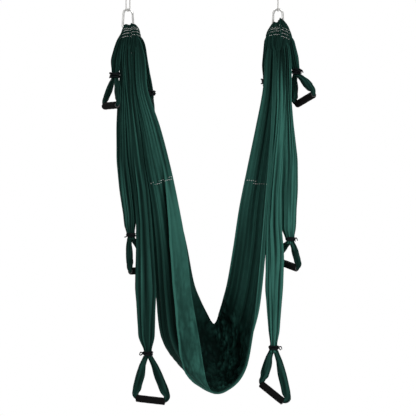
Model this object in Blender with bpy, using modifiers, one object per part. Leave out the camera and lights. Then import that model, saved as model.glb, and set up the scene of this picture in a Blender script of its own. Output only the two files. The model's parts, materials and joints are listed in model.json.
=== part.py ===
"""Aerial hammock: a wide nylon sling between two snap hooks, with four strap handles on each hook.

Run it with blender --background --python part.py. Lengths are in metres and +Z is up. The origin is halfway
between the tops of the two ceiling plates, +X is to the viewer's right and the viewer stands at -Y. Values
whose names end in share or shares have no unit: each is a share of the size that its comment names.
"""

import math

import bmesh
import bpy
import numpy as np
from mathutils import Matrix, Vector

COLLECTION = "aerial_hammock"
SIDES = {"left": -1, "right": 1}  # the sign of the way outwards from the middle
LANES = ("short", "medium", "long", "main", "inner")  # along the hook's bar, from the outside in

# Overall
HANG_HALF_SPAN = 0.255  # from the middle to each hook
SLING_DROP = 1.236  # from the foot of the hooks to the lowest cloth
FOOT_DROP = 0.008  # from a hook's bar to the level that the drops start from
GAP = 0.0003  # between pieces that touch
CUT_OVERRUN = 0.004  # how far a cutter runs past what it cuts

# Ceiling plates and their eyes
PLATE_RADIUS = 0.024
PLATE_THICKNESS = 0.005
SCREW_HOLE_RADIUS = 0.0025
SCREW_HOLE_SPACING = 0.034
EYE_WIRE = 0.007  # diameter
EYE_DROP = 0.022  # from the plate's underside to the middle of the eye's bar
EYE_HALF_WIDTH = 0.015
EYE_BEND = 0.006

# Cord loops between the eyes and the hooks
CORD_DIAMETER = 0.004
CORD_SPAN = 0.052  # between the bars that it goes round
CORD_SEGMENTS = 5  # of each half turn
CORD_TURN = {"left": math.radians(42), "right": 0}

# Snap hooks
HOOK_LENGTH = 0.072
HOOK_WIRE = 0.008  # diameter
HOOK_HALF_WIDTH = 0.018  # to the middle of the wire
HOOK_BEND = 0.008
HOOK_TOP_BEND = 0.0155
NOSE_LENGTH = 0.008  # of the side below the gate
PIN_SETBACK = 0.0065  # along the side, from its upper end
PIN_RADIUS = 0.0012
PIN_LENGTH = 0.0066
GATE_RADIUS = 0.0036
GATE_REACH = 0.0035  # past the pin
TONGUE_THICKNESS = 0.003
TONGUE_WIDTH = 0.006
TONGUE_REACH = 0.0026  # past the pin, towards the gate's slot
TONGUE_ROOT = 0.0055  # from the pin to the full wire
SLOT_DEPTH = 0.0043  # past the pin
SLOT_CLEARANCE = 0.0004

# Cloth heads on the hooks' bars
HEAD_RADIUS = 0.0118
HEAD_SIDES = 16
FLARE_START = 0.0122  # from the bar's axis, where the heads begin to spread
MAIN_HEAD_DEPTH = 0.015
MAIN_HEAD_END = 0.066  # below the bar, where the gathered head ends

# Main cloth
CLOTH_THICKNESS = 0.003
CLOTH_HALF_DEPTH = 0.140
FOLD_HEIGHT = 0.0045
FOLD_COUNT = 5

# Strap handles
STRAP_SIDES = 12
STRAP_HALF_DEPTH = 0.016
STRAP_SETBACK = 0.050
NECK_RADIUS = 0.0125
NECK_HALF_HEIGHT = 0.004
NECK_TAPER = 0.055
PLEAT_SHARE = 0.1  # of a strap's radius
LANE_MARGIN = 0.0009  # from a strap to the edge of its lane
FORK_RADIUS = 0.0175
FORK_DROP = 0.018  # from the tie to where the arms part
LOOP_HEIGHT = 0.156
ARM_OFFSET = 0.0077
ARM_ROOT = 0.0078
ARM_HALF_WIDTH = 0.0135
ARM_HALF_DEPTH = 0.0085
TIE_CORD = 0.0021  # radius
KNOT_RADIUS = 0.0042
TIE_SIDES = 12
GRIP_LENGTH = 0.100
GRIP_RADIUS = 0.0124
CORE_RADIUS = 0.0092
CORE_BORE_RADIUS = 0.0066
GRIP_EDGE = 0.0012
GRIP_SIDES = 10
ROPE_RADIUS = CORE_BORE_RADIUS - 0.0004

# Shares
SQUARE_SHARE = 0.85  # the power that squares a ring's corners
LUG_HEIGHT_SHARES = (0.96, 0.7, 0.0, -0.43, -0.73, -1.0)  # of the head's radius, above the bar
BAR_LANE_SHARES = (1.0, 0.7, 0.37, 0.02, -0.65, -1.0)  # of the bar's half length, outwards
HEAD_LEVEL_SHARES = (0.0062, 0.0105)  # of the sling's drop, as the next row
STRAP_LEVEL_SHARES = (0.016, 0.038, 0.079, 0.124, 0.18, 0.266, 0.354, 0.442, 0.53, 0.618, 0.712, 0.79)
NECK_SHARES = (0.8, 0.4)  # of the neck's taper, above the tie
# Edges between the lanes, from the outside in. Each point is the distance from the bar as a share of the
# sling's drop, then the way outwards from the hook as a share of half the span.
LANE_EDGE_SHARES = {
    "left": (
        ((0.016, 0.107), (0.038, 0.153), (0.079, 0.22), (0.124, 0.22)),
        ((0.016, 0.047), (0.038, 0.087), (0.079, 0.107), (0.124, 0.09), (0.18, 0.13), (0.266, 0.15),
         (0.354, 0.15), (0.442, 0.11), (0.53, 0.053)),
        ((0.016, -0.007), (0.038, 0.027), (0.079, 0.047), (0.18, 0.033), (0.266, 0.013), (0.354, -0.013),
         (0.442, -0.067), (0.53, -0.107), (0.618, -0.107), (0.712, -0.093), (0.838, -0.133)),
        ((0.016, -0.06), (0.038, -0.033), (0.079, -0.03), (0.18, -0.09), (0.266, -0.157), (0.354, -0.215),
         (0.442, -0.275), (0.53, -0.317), (0.712, -0.377), (0.838, -0.36)),
        ((0.016, -0.118), (0.038, -0.147), (0.079, -0.18), (0.17, -0.24)),
        ((0.016, -0.165), (0.038, -0.213), (0.079, -0.24), (0.123, -0.26), (0.17, -0.327)),
    ),
    "right": (
        ((0.016, 0.187), (0.038, 0.213), (0.079, 0.26), (0.112, 0.28)),
        ((0.016, 0.107), (0.038, 0.133), (0.079, 0.16), (0.124, 0.163), (0.18, 0.168), (0.235, 0.172),
         (0.3, 0.25), (0.354, 0.26), (0.442, 0.267), (0.53, 0.24)),
        ((0.016, 0.04), (0.038, 0.067), (0.079, 0.08), (0.18, 0.097), (0.266, 0.087), (0.354, 0.067),
         (0.442, 0.04), (0.53, 0.04), (0.618, 0.073), (0.712, 0.06), (0.838, 0.013)),
        ((0.016, -0.02), (0.038, -0.007), (0.079, 0.0), (0.18, -0.015), (0.266, -0.04), (0.354, -0.09),
         (0.442, -0.13), (0.53, -0.157), (0.712, -0.17), (0.838, -0.12)),
        ((0.016, -0.107), (0.038, -0.1), (0.079, -0.087), (0.124, -0.08)),
        ((0.016, -0.16), (0.038, -0.169), (0.079, -0.187), (0.112, -0.2), (0.137, -0.2)),
    ),
}
# The cloth's near hem, belly and far hem from the left hook to the right one. Each point is the way right
# as a share of half the span, the drop as a share of the sling's drop, and the depth as a share of the half
# depth.
NEAR_HEM_SHARES = (
    (-0.869, 0.037, -0.064), (-0.847, 0.084, -0.13), (-0.79, 0.167, -0.21), (-0.573, 0.266, -0.32),
    (-0.433, 0.376, -0.4), (-0.32, 0.486, -0.46), (-0.22, 0.602, -0.54), (-0.16, 0.717, -0.68),
    (-0.06, 0.833, -0.84), (0.04, 0.926, -0.94), (0.107, 0.965, -0.98), (0.187, 0.987, -0.99),
    (0.28, 0.97, -0.98), (0.353, 0.931, -0.94), (0.32, 0.833, -0.84), (0.3, 0.728, -0.68),
    (0.393, 0.607, -0.54), (0.487, 0.486, -0.46),
    (0.593, 0.376, -0.4), (0.713, 0.266, -0.32), (0.82, 0.167, -0.21), (0.913, 0.084, -0.13),
    (0.933, 0.037, -0.064),
)
BELLY_SHARES = (
    (-0.931, 0.037, 0.0), (-0.94, 0.084, 0.0), (-0.9, 0.167, 0.0), (-0.82, 0.266, 0.0),
    (-0.747, 0.376, 0.0), (-0.68, 0.486, 0.0), (-0.627, 0.602, 0.0), (-0.593, 0.728, 0.0),
    (-0.553, 0.844, 0.04), (-0.365, 0.919, 0.07), (-0.1, 0.974, 0.0), (0.2, 0.998, -0.07),
    (0.427, 0.974, 0.0), (0.587, 0.924, 0.07), (0.66, 0.844, 0.04), (0.767, 0.755, 0.0),
    (0.8, 0.602, 0.0), (0.82, 0.486, 0.0),
    (0.873, 0.376, 0.0), (0.927, 0.266, 0.0), (0.967, 0.167, 0.0), (0.973, 0.084, 0.0),
    (0.973, 0.037, 0.0),
)
FAR_HEM_SHARES = (
    (-0.869, 0.037, 0.064), (-0.847, 0.084, 0.13), (-0.85, 0.167, 0.17), (-0.6, 0.266, 0.29),
    (-0.453, 0.376, 0.37), (-0.34, 0.486, 0.47), (-0.22, 0.596, 0.61), (-0.13, 0.695, 0.79),
    (-0.04, 0.747, 1.0), (0.063, 0.791, 1.18), (0.107, 0.808, 1.23), (0.15, 0.816, 1.25),
    (0.187, 0.806, 1.23), (0.213, 0.789, 1.18), (0.267, 0.75, 1.0), (0.333, 0.695, 0.79),
    (0.413, 0.596, 0.61), (0.493, 0.486, 0.47),
    (0.6, 0.376, 0.37), (0.72, 0.266, 0.29), (0.924, 0.167, 0.19), (0.924, 0.084, 0.13),
    (0.933, 0.037, 0.064),
)
CLOTH_ROWS = 26
CLOTH_COLUMNS = 17

# Handles. A tie's place is the way outwards and the drop, as in the edges, and its depth as a share of the
# setback. The grip's place is from the tie: the way right as a share of the grip's length, its own depth as
# a share of the setback, and the loop's height as a share of LOOP_HEIGHT. Yaw takes the right end back, and
# dip takes it down.
HANDLE_SHARES = {
    "left_short": {"tie_shares": (0.175, 0.124, -0.08), "grip_shares": (-0.13, -0.2, 0.66),
                   "yaw": -62, "dip": 0},
    "left_medium": {"tie_shares": (-0.04, 0.563, 0.24), "grip_shares": (0.29, 1.16, 0.79),
                    "yaw": 50, "dip": 0},
    "left_long": {"tie_shares": (-0.267, 0.888, -0.16), "grip_shares": (0.09, -0.24, 1.01),
                  "yaw": -8, "dip": 6},
    "left_inner": {"tie_shares": (-0.293, 0.17, 0.96), "grip_shares": (-0.16, 2.4, 0.66),
                   "yaw": 76, "dip": 0},
    "right_short": {"tie_shares": (0.253, 0.112, 0.48), "grip_shares": (0.29, 0.52, 0.609),
                    "yaw": -56, "dip": -17},
    "right_medium": {"tie_shares": (0.167, 0.574, 0.28), "grip_shares": (-0.113, 0.72, 0.56),
                     "yaw": -45, "dip": 14},
    "right_long": {"tie_shares": (-0.06, 0.872, -0.16), "grip_shares": (-0.05, -0.24, 0.985),
                   "yaw": -20, "dip": 36},
    "right_inner": {"tie_shares": (-0.149, 0.137, 1.4), "grip_shares": (0.08, 2.3, 0.676),
                    "yaw": 80, "dip": 0},
}

# Places worked out from the sizes
EYE_Z = -PLATE_THICKNESS - EYE_DROP
HOOK_TOP_Z = EYE_Z - CORD_SPAN
BAR_Z = HOOK_TOP_Z - HOOK_LENGTH + HOOK_WIRE
BAR_HALF_LENGTH = HOOK_HALF_WIDTH - HOOK_BEND
RIGHT = Vector((1, 0, 0))
BACK = Vector((0, 1, 0))
UP = Vector((0, 0, 1))


# Materials
def material(name, colour, roughness, metallic=0.0):
    made = bpy.data.materials.new(name)
    made.use_nodes = True
    shader = made.node_tree.nodes["Principled BSDF"]
    shader.inputs["Base Color"].default_value = (*colour, 1)
    shader.inputs["Roughness"].default_value = roughness
    shader.inputs["Metallic"].default_value = metallic
    made.diffuse_color = (*colour, 1)
    return made


def make_materials():
    return {
        "nylon": material("nylon", (0.012, 0.052, 0.042), 0.55),
        "foam": material("foam", (0.025, 0.025, 0.027), 0.85),
        "core": material("core", (0.05, 0.05, 0.052), 0.4),
        "elastic": material("elastic", (0.008, 0.008, 0.009), 0.7),
        "steel": material("steel", (0.62, 0.62, 0.6), 0.25, 1.0),
        "cord": material("cord", (0.78, 0.77, 0.74), 0.6),
    }


# Tools
def clear_scene():
    for found in list(bpy.data.objects):
        bpy.data.objects.remove(found)


def make_collection(name):
    made = bpy.data.collections.new(name)
    bpy.context.scene.collection.children.link(made)
    return made


class Maker:
    """Holds the two collections and the materials, and makes objects in them."""

    def __init__(self):
        self.parts = make_collection(COLLECTION)
        self.cutters = make_collection(COLLECTION + "_cutters")
        self.materials = make_materials()

    def place(self, name, data, finish):
        made = bpy.data.objects.new(name, data)
        self.parts.objects.link(made)
        data.materials.clear()
        data.materials.append(self.materials[finish])
        return made

    def cutter(self, made):
        for held in list(made.users_collection):
            held.objects.unlink(made)
        self.cutters.objects.link(made)
        made.hide_render = True
        made.display_type = "WIRE"
        return made

    def boolean(self, piece, other, operation):
        step = piece.modifiers.new(operation.lower(), "BOOLEAN")
        step.operation = operation
        step.solver = "EXACT"
        step.object = self.cutter(other)


def mesh_from(name, points, faces):
    made = bpy.data.meshes.new(name)
    made.from_pydata([tuple(p) for p in points], [], faces)
    made.update()
    return made


def smooth(mesh, angle=math.radians(40)):
    mesh.shade_smooth()
    mesh.set_sharp_from_angle(angle=angle)


def rod(name, start, end, radius, sides=16):
    """A mesh cylinder between two points."""
    start = Vector(start)
    end = Vector(end)
    shape = bmesh.new()
    bmesh.ops.create_cone(shape, cap_ends=True, segments=sides, radius1=radius, radius2=radius,
                          depth=(end - start).length)
    turn = UP.rotation_difference(end - start).to_matrix().to_4x4()
    bmesh.ops.transform(shape, matrix=Matrix.Translation((start + end) / 2) @ turn, verts=shape.verts)
    made = bpy.data.meshes.new(name)
    shape.to_mesh(made)
    shape.free()
    smooth(made)
    return made


def block(name, middle, axes, sizes):
    """A mesh box with its sizes along three unit axes."""
    shape = bmesh.new()
    bmesh.ops.create_cube(shape, size=1)
    turn = Matrix([list(axis * size) for axis, size in zip(axes, sizes)]).transposed().to_4x4()
    bmesh.ops.transform(shape, matrix=Matrix.Translation(middle) @ turn, verts=shape.verts)
    bmesh.ops.recalc_face_normals(shape, faces=shape.faces)
    made = bpy.data.meshes.new(name)
    shape.to_mesh(made)
    shape.free()
    return made


def wire(name, points, diameter, closed=False, resolution=2):
    """A bevelled curve through the points."""
    made = bpy.data.curves.new(name, "CURVE")
    made.dimensions = "3D"
    made.bevel_depth = diameter / 2
    made.bevel_resolution = resolution
    made.use_fill_caps = not closed
    line = made.splines.new("POLY")
    line.points.add(len(points) - 1)
    for held, point in zip(line.points, points):
        held.co = (*point, 1)
        held.radius = 1
    line.use_cyclic_u = closed
    line.use_smooth = True
    return made


def as_mesh(curve, name):
    """The mesh of a bevelled curve, with its caps welded to its sides."""
    holder = bpy.data.objects.new(name, curve)
    made = bpy.data.meshes.new_from_object(holder)
    bpy.data.objects.remove(holder)
    shape = bmesh.new()
    shape.from_mesh(made)
    bmesh.ops.remove_doubles(shape, verts=shape.verts, dist=GAP / 10)
    bmesh.ops.recalc_face_normals(shape, faces=shape.faces)
    shape.to_mesh(made)
    shape.free()
    smooth(made)
    return made


def arc(middle, radius, start, end, count):
    """Points of an arc in a plane, with its angles in degrees."""
    angles = np.radians(np.linspace(start, end, count))
    return [(middle[0] + radius * math.cos(a), middle[1] + radius * math.sin(a)) for a in angles]


def skin(name, rings):
    """A closed mesh through rings with the same number of points, with a cap at each end."""
    count = len(rings[0])
    points = [p for ring in rings for p in ring]
    faces = []
    for r in range(len(rings) - 1):
        for i in range(count):
            j = (i + 1) % count
            low = r * count
            high = low + count
            faces.append((low + i, low + j, high + j, high + i))
    faces.append(tuple(reversed(range(count))))
    faces.append(tuple(range(len(points) - count, len(points))))
    made = mesh_from(name, points, faces)
    shape = bmesh.new()
    shape.from_mesh(made)
    bmesh.ops.recalc_face_normals(shape, faces=shape.faces)
    shape.to_mesh(made)
    shape.free()
    return made


def smooth_line(points, count):
    """A Catmull-Rom curve through the points, read at an even step of its parameter."""
    known = np.array(points, float)
    known = np.vstack([2 * known[0] - known[1], known, 2 * known[-1] - known[-2]])
    place = np.linspace(0, len(points) - 1, count)
    index = np.minimum(place.astype(int), len(points) - 2)
    t = (place - index)[:, None]
    a, b, c, d = (known[index + k] for k in range(4))
    return 0.5 * (2 * b + (c - a) * t + (2 * a - 5 * b + 4 * c - d) * t**2 + (3 * b - a - 3 * c + d) * t**3)


def ease(share):
    """A smooth step from 0 to 1."""
    share = min(1.0, max(0.0, share))
    return share * share * (3 - 2 * share)


# Ceiling plates, eyes and cords
def ceiling_plate(maker, side):
    x = SIDES[side] * HANG_HALF_SPAN
    plate = rod(side + "_ceiling_plate", (x, 0, -PLATE_THICKNESS), (x, 0, 0), PLATE_RADIUS, 24)
    made = maker.place(side + "_ceiling_plate", plate, "steel")
    for way in (-1, 1):
        y = way * SCREW_HOLE_SPACING / 2
        low = (x, y, -PLATE_THICKNESS - CUT_OVERRUN)
        hole = rod("screw_hole", low, (x, y, CUT_OVERRUN), SCREW_HOLE_RADIUS, 8)
        maker.boolean(made, maker.place("screw_hole", hole, "steel"), "DIFFERENCE")


def ceiling_eye(maker, side):
    """A bar bent to a square U, hanging from the plate."""
    x = SIDES[side] * HANG_HALF_SPAN
    top = -PLATE_THICKNESS - GAP
    flat = EYE_HALF_WIDTH - EYE_BEND
    line = [(-EYE_HALF_WIDTH, top)]
    line += arc((-flat, EYE_Z + EYE_BEND), EYE_BEND, 180, 270, 5)
    line += arc((flat, EYE_Z + EYE_BEND), EYE_BEND, 270, 360, 5)
    line.append((EYE_HALF_WIDTH, top))
    points = [(x + u, 0, z) for u, z in line]
    maker.place(side + "_ceiling_eye", wire(side + "_ceiling_eye", points, EYE_WIRE), "steel")


def cord_loop(maker, side):
    """A closed loop of cord, over the eye's bar and under the top of the hook."""
    x = SIDES[side] * HANG_HALF_SPAN
    turn = CORD_TURN[side]
    flat = math.cos(math.pi / (2 * CORD_SEGMENTS))
    high = ((EYE_WIRE + CORD_DIAMETER) / 2 + GAP) / flat
    low = ((HOOK_WIRE + CORD_DIAMETER) / 2 + 2 * GAP) / flat
    points = []
    for middle, reach, start in ((EYE_Z, high, 0), (HOOK_TOP_Z, low, 180)):
        for u, z in arc((0, 0), reach, start, start + 180, CORD_SEGMENTS + 1):
            along = u / math.cos(turn)
            points.append((x + along * math.sin(turn), along * math.cos(turn), middle + z))
    loop = wire(side + "_cord_loop", points, CORD_DIAMETER, closed=True)
    maker.place(side + "_cord_loop", loop, "cord")


# Snap hooks
class HookSide:
    """The straight side of a hook that carries the gate. It leans in by the tangent of the two bends."""

    def __init__(self, side):
        across = Vector((-BAR_HALF_LENGTH, HOOK_LENGTH - HOOK_WIRE - HOOK_TOP_BEND - HOOK_BEND))
        turn = math.acos((HOOK_BEND - HOOK_TOP_BEND) / across.length)
        self.lean = math.atan2(across.y, across.x) - turn
        self.side = side
        self.inward = -SIDES[side]
        self.x = SIDES[side] * HANG_HALF_SPAN
        normal = (math.cos(self.lean), math.sin(self.lean))
        self.start = (BAR_HALF_LENGTH + HOOK_BEND * normal[0], HOOK_BEND + HOOK_BEND * normal[1])
        top = HOOK_LENGTH - HOOK_WIRE - HOOK_TOP_BEND
        self.end = (HOOK_TOP_BEND * normal[0], top + HOOK_TOP_BEND * normal[1])
        self.along = Vector((-self.inward * normal[1], 0, normal[0]))
        self.out = Vector((self.inward * normal[0], 0, normal[1]))
        self.pin_height = math.dist(self.start, self.end) - PIN_SETBACK

    def world(self, point):
        return Vector((self.x + self.inward * point[0], 0, BAR_Z + point[1]))

    def at(self, distance):
        return self.world(self.start) + self.along * distance


def hook_frame(maker, side):
    """A round bar from the nose, along the flat foot, up the spine and over the top to the gate's tongue."""
    edge = HookSide(side)
    lean = math.degrees(edge.lean)
    top = HOOK_LENGTH - HOOK_WIRE - HOOK_TOP_BEND
    outline = arc((BAR_HALF_LENGTH, HOOK_BEND), HOOK_BEND, lean, -90, 5)
    outline += arc((-BAR_HALF_LENGTH, HOOK_BEND), HOOK_BEND, -90, -180 - lean, 5)
    outline += arc((0, top), HOOK_TOP_BEND, 180 - lean, lean, 10)
    points = [edge.at(NOSE_LENGTH)] + [edge.world(p) for p in outline]
    points.append(edge.at(edge.pin_height + TONGUE_ROOT))
    name = side + "_hook_frame"
    made = maker.place(name, as_mesh(wire(name, points, HOOK_WIRE), name), "steel")
    low = edge.pin_height - TONGUE_REACH
    high = edge.pin_height + TONGUE_ROOT + HOOK_WIRE / 2
    axes = (edge.out, BACK, edge.along)
    tongue = block("tongue", edge.at((low + high) / 2), axes, (TONGUE_WIDTH, TONGUE_THICKNESS, high - low))
    maker.boolean(made, maker.place("tongue", tongue, "steel"), "UNION")
    maker.boolean(made, pin_hole(maker, edge), "DIFFERENCE")


def pin_hole(maker, edge):
    reach = BACK * (GATE_RADIUS + CUT_OVERRUN)
    middle = edge.at(edge.pin_height)
    hole = rod("pin_hole", middle - reach, middle + reach, PIN_RADIUS + GAP, 12)
    return maker.place("pin_hole", hole, "steel")


def hook_gate(maker, side):
    """A round bar slotted over the tongue, on a pin."""
    edge = HookSide(side)
    name = side + "_hook_gate"
    low = edge.at(NOSE_LENGTH + GAP)
    high = edge.at(edge.pin_height + GATE_REACH)
    made = maker.place(name, rod(name, low, high, GATE_RADIUS, 16), "steel")
    bottom = edge.pin_height - SLOT_DEPTH
    top = edge.pin_height + GATE_REACH + CUT_OVERRUN
    width = TONGUE_THICKNESS + 2 * SLOT_CLEARANCE
    axes = (edge.out, BACK, edge.along)
    reach = 2 * (GATE_RADIUS + CUT_OVERRUN)
    slot = block("slot", edge.at((bottom + top) / 2), axes, (reach, width, top - bottom))
    maker.boolean(made, maker.place("slot", slot, "steel"), "DIFFERENCE")
    maker.boolean(made, pin_hole(maker, edge), "DIFFERENCE")
    middle = edge.at(edge.pin_height)
    reach = BACK * PIN_LENGTH / 2
    pin = rod(side + "_hook_pin", middle - reach, middle + reach, PIN_RADIUS, 12)
    maker.place(side + "_hook_pin", pin, "steel")


def bar_hole(maker, side):
    """The round way through a cloth head for the hook's lower bar."""
    middle = Vector((SIDES[side] * HANG_HALF_SPAN, 0, BAR_Z))
    reach = RIGHT * (BAR_HALF_LENGTH + CUT_OVERRUN)
    radius = (HOOK_WIRE / 2 + GAP) / math.cos(math.pi / 16)
    return maker.place("bar_hole", rod("bar_hole", middle - reach, middle + reach, radius, 16), "nylon")


# Cloth
def lane_edge(side, edge, reach):
    """How far outwards from the hook an edge between two pieces lies, at a distance from the bar's axis."""
    shares = LANE_EDGE_SHARES[side][edge]
    known = [0.0, FLARE_START] + [FOOT_DROP + p[0] * SLING_DROP for p in shares]
    bar = BAR_LANE_SHARES[edge] * BAR_HALF_LENGTH
    return float(np.interp(reach, known, [bar, bar] + [p[1] * HANG_HALF_SPAN for p in shares]))


def lane_ring(side, lane, drop, depth, half_depth, count, pleat=0.0, neck=None, spread=1.0):
    """A level ring between a lane's two edges, squarer than an ellipse, with every other point drawn in by
    the pleat. Each point reads the edges at its own distance from the bar, so that the pieces turn past each
    other. Where the spread is below 1, the ring closes towards the neck's place."""
    ring = []
    corner = math.cos(math.pi / count)
    for i in range(count):
        a = 2 * math.pi * (i + 0.5) / count
        c = math.copysign(abs(math.cos(a) / corner) ** SQUARE_SHARE, math.cos(a))
        s = math.copysign(abs(math.sin(a) / corner) ** SQUARE_SHARE, math.sin(a))
        drawn = 1 - pleat * (i % 2)
        y = depth + half_depth * s * drawn
        reach = math.hypot(drop, y)
        outer = lane_edge(side, lane, reach) - LANE_MARGIN
        inner = lane_edge(side, lane + 1, reach) + LANE_MARGIN
        middle = SIDES[side] * (HANG_HALF_SPAN + (outer + inner) / 2)
        half = (outer - inner) / 2
        if neck:
            middle = neck.x + (middle - neck.x) * spread
            half = NECK_RADIUS + (half - NECK_RADIUS) * spread
        ring.append(Vector((middle + half * c * drawn, y, BAR_Z - drop)))
    return ring


def round_ring(middle, half_along, half_across, heading, count):
    """A level ellipse whose long way points along a heading."""
    ring = []
    for i in range(count):
        a = 2 * math.pi * (i + 0.5) / count
        off = a - heading
        reach = 1 / math.hypot(math.cos(off) / half_along, math.sin(off) / half_across)
        ring.append(middle + RIGHT * (reach * math.cos(a)) + BACK * (reach * math.sin(a)))
    return ring


class Handle:
    """The places of one handle: its lane on the hook, its tie, and its grip's middle and way."""

    def __init__(self, name):
        row = HANDLE_SHARES[name]
        self.name = name
        self.side = name.split("_")[0]
        self.lane = LANES.index(name.split("_")[1])
        out, drop, depth = row["tie_shares"]
        self.drop = FOOT_DROP + drop * SLING_DROP
        x = SIDES[self.side] * HANG_HALF_SPAN * (1 + out)
        self.tie = Vector((x, depth * STRAP_SETBACK, BAR_Z - self.drop))
        across, depth, height = row["grip_shares"]
        x += across * GRIP_LENGTH
        self.grip = Vector((x, depth * STRAP_SETBACK, self.tie.z - height * LOOP_HEIGHT))
        yaw = math.radians(row["yaw"])
        dip = math.radians(row["dip"])
        self.way = Vector((math.cos(dip) * math.cos(yaw), math.cos(dip) * math.sin(yaw), -math.sin(dip)))
        self.level_way = Vector((self.way.x, self.way.y, 0)).normalized()
        self.normal = self.way.cross(self.tie - self.grip).normalized()
        self.rise = self.normal.cross(self.way).normalized()


def lug_levels():
    """The drops and half depths of a head's rings round the bar, from the top down."""
    levels = []
    for share in LUG_HEIGHT_SHARES:
        depth = HEAD_RADIUS * (math.sqrt(1 - share * share) if share > 0 else 1)
        levels.append((-share * HEAD_RADIUS, depth))
    return levels


def strap_rings(handle):
    """Rings from the head on the bar, down the pleated strap, through the neck to the fork of the arms."""
    rings = []
    for drop, depth in lug_levels():
        rings.append(lane_ring(handle.side, handle.lane, drop, 0, depth, STRAP_SIDES))
    levels = [FOOT_DROP + share * SLING_DROP for share in HEAD_LEVEL_SHARES + STRAP_LEVEL_SHARES]
    first = levels[len(HEAD_LEVEL_SHARES)]
    last = handle.drop - NECK_HALF_HEIGHT
    levels = [drop for drop in levels if drop < last - NECK_TAPER]
    levels += [last - NECK_TAPER * share for share in NECK_SHARES]
    for drop in levels:
        spread = ease((last - drop) / NECK_TAPER)
        opened = ease((drop - first) / (handle.drop / 3))
        depth = HEAD_RADIUS + (STRAP_HALF_DEPTH - HEAD_RADIUS) * opened
        depth = NECK_RADIUS + (depth - NECK_RADIUS) * spread
        y = handle.tie.y * ease((drop - first) / (last - first))
        pleat = PLEAT_SHARE * min(opened, spread)
        ring = lane_ring(handle.side, handle.lane, drop, y, depth, STRAP_SIDES, pleat, handle.tie, spread)
        rings.append(ring)
    heading = math.atan2(handle.level_way.y, handle.level_way.x)
    for height, along in ((NECK_HALF_HEIGHT, NECK_RADIUS), (-NECK_HALF_HEIGHT, NECK_RADIUS),
                          (-FORK_DROP / 2, FORK_RADIUS), (-FORK_DROP, FORK_RADIUS)):
        rings.append(round_ring(handle.tie + UP * height, along, NECK_RADIUS, heading, STRAP_SIDES))
    return rings


def arm_path(handle, way):
    """One arm from the fork down to the grip's end. Each entry is a point, a half width and a half depth."""
    level = handle.level_way * way
    along = handle.way * way
    corner = handle.grip + along * (GRIP_LENGTH / 2 + GAP + ROPE_RADIUS + LANE_MARGIN)
    foot = corner + handle.rise * (GRIP_RADIUS + ARM_ROOT / 3)
    root = handle.tie - UP * (FORK_DROP * 0.62) + level * ARM_OFFSET
    fork = handle.tie - UP * (FORK_DROP * 1.15) + level * ARM_OFFSET * 1.06
    reach = (foot - fork).length
    bend_a = fork.lerp(foot, 0.35) + level * reach * 0.04
    bend_b = foot + handle.rise * reach * 0.2
    path = [(root, ARM_ROOT, ARM_HALF_DEPTH), (fork, ARM_ROOT, ARM_HALF_DEPTH)]
    for t in (0.25, 0.5, 0.78):
        s = 1 - t
        point = fork * s**3 + bend_a * (3 * s * s * t) + bend_b * (3 * s * t * t) + foot * t**3
        width = ARM_ROOT + (ARM_HALF_WIDTH - ARM_ROOT) * math.sin(math.pi * t) ** 0.6
        path.append((point, width, ARM_HALF_DEPTH))
    path.append((foot, ROPE_RADIUS, ROPE_RADIUS))
    path.append((corner, ROPE_RADIUS, ROPE_RADIUS))
    return path


def arm_loop(handle):
    """Both arms and the rope through the grip, as one swept skin with mitred corners."""
    left = arm_path(handle, -1)
    path = left + list(reversed(arm_path(handle, 1)))
    count = 8
    rings = []
    for i, (point, half_width, half_depth) in enumerate(path):
        before = point - path[max(i - 1, 0)][0]
        after = path[min(i + 1, len(path) - 1)][0] - point
        before = before.normalized() if before.length else after.normalized()
        after = after.normalized() if after.length else before
        tangent = (before + after).normalized()
        stretch = 1 / max(0.6, before.dot(tangent))
        across = handle.normal.cross(tangent).normalized()
        ring = []
        for k in range(count):
            a = 2 * math.pi * (k + 0.5) / count
            side = across * (half_width * stretch * math.cos(a))
            ring.append(point + side + handle.normal * (half_depth * math.sin(a)))
        rings.append(ring)
    return rings


def handle_strap(maker, handle):
    name = handle.name + "_strap"
    body = skin(name, strap_rings(handle))
    smooth(body, math.radians(60))
    made = maker.place(name, body, "nylon")
    loop = skin("arm_loop", arm_loop(handle))
    maker.boolean(made, maker.place("arm_loop", loop, "nylon"), "UNION")
    maker.boolean(made, bar_hole(maker, handle.side), "DIFFERENCE")


def handle_tie(maker, handle):
    """An elastic ring round the neck, with its knot on the outside."""
    name = handle.name + "_tie"
    inner = (NECK_RADIUS + GAP) / math.cos(math.pi / TIE_SIDES)
    bpy.ops.mesh.primitive_torus_add(major_segments=TIE_SIDES, minor_segments=4, minor_radius=TIE_CORD,
                                     major_radius=inner + TIE_CORD, location=handle.tie)
    ring = bpy.context.object
    for held in list(ring.users_collection):
        held.objects.unlink(ring)
    ring.name = name
    ring.data.materials.append(maker.materials["elastic"])
    smooth(ring.data)
    maker.parts.objects.link(ring)
    shape = bmesh.new()
    bmesh.ops.create_uvsphere(shape, u_segments=6, v_segments=4, radius=KNOT_RADIUS)
    out = handle.level_way * -1 if handle.side == "left" else handle.level_way
    knot_place = handle.tie + out * (inner + 2 * TIE_CORD + KNOT_RADIUS / 4)
    bmesh.ops.translate(shape, vec=knot_place, verts=shape.verts)
    knot = bpy.data.meshes.new("knot")
    shape.to_mesh(knot)
    shape.free()
    maker.boolean(ring, maker.place("knot", knot, "elastic"), "UNION")


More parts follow.
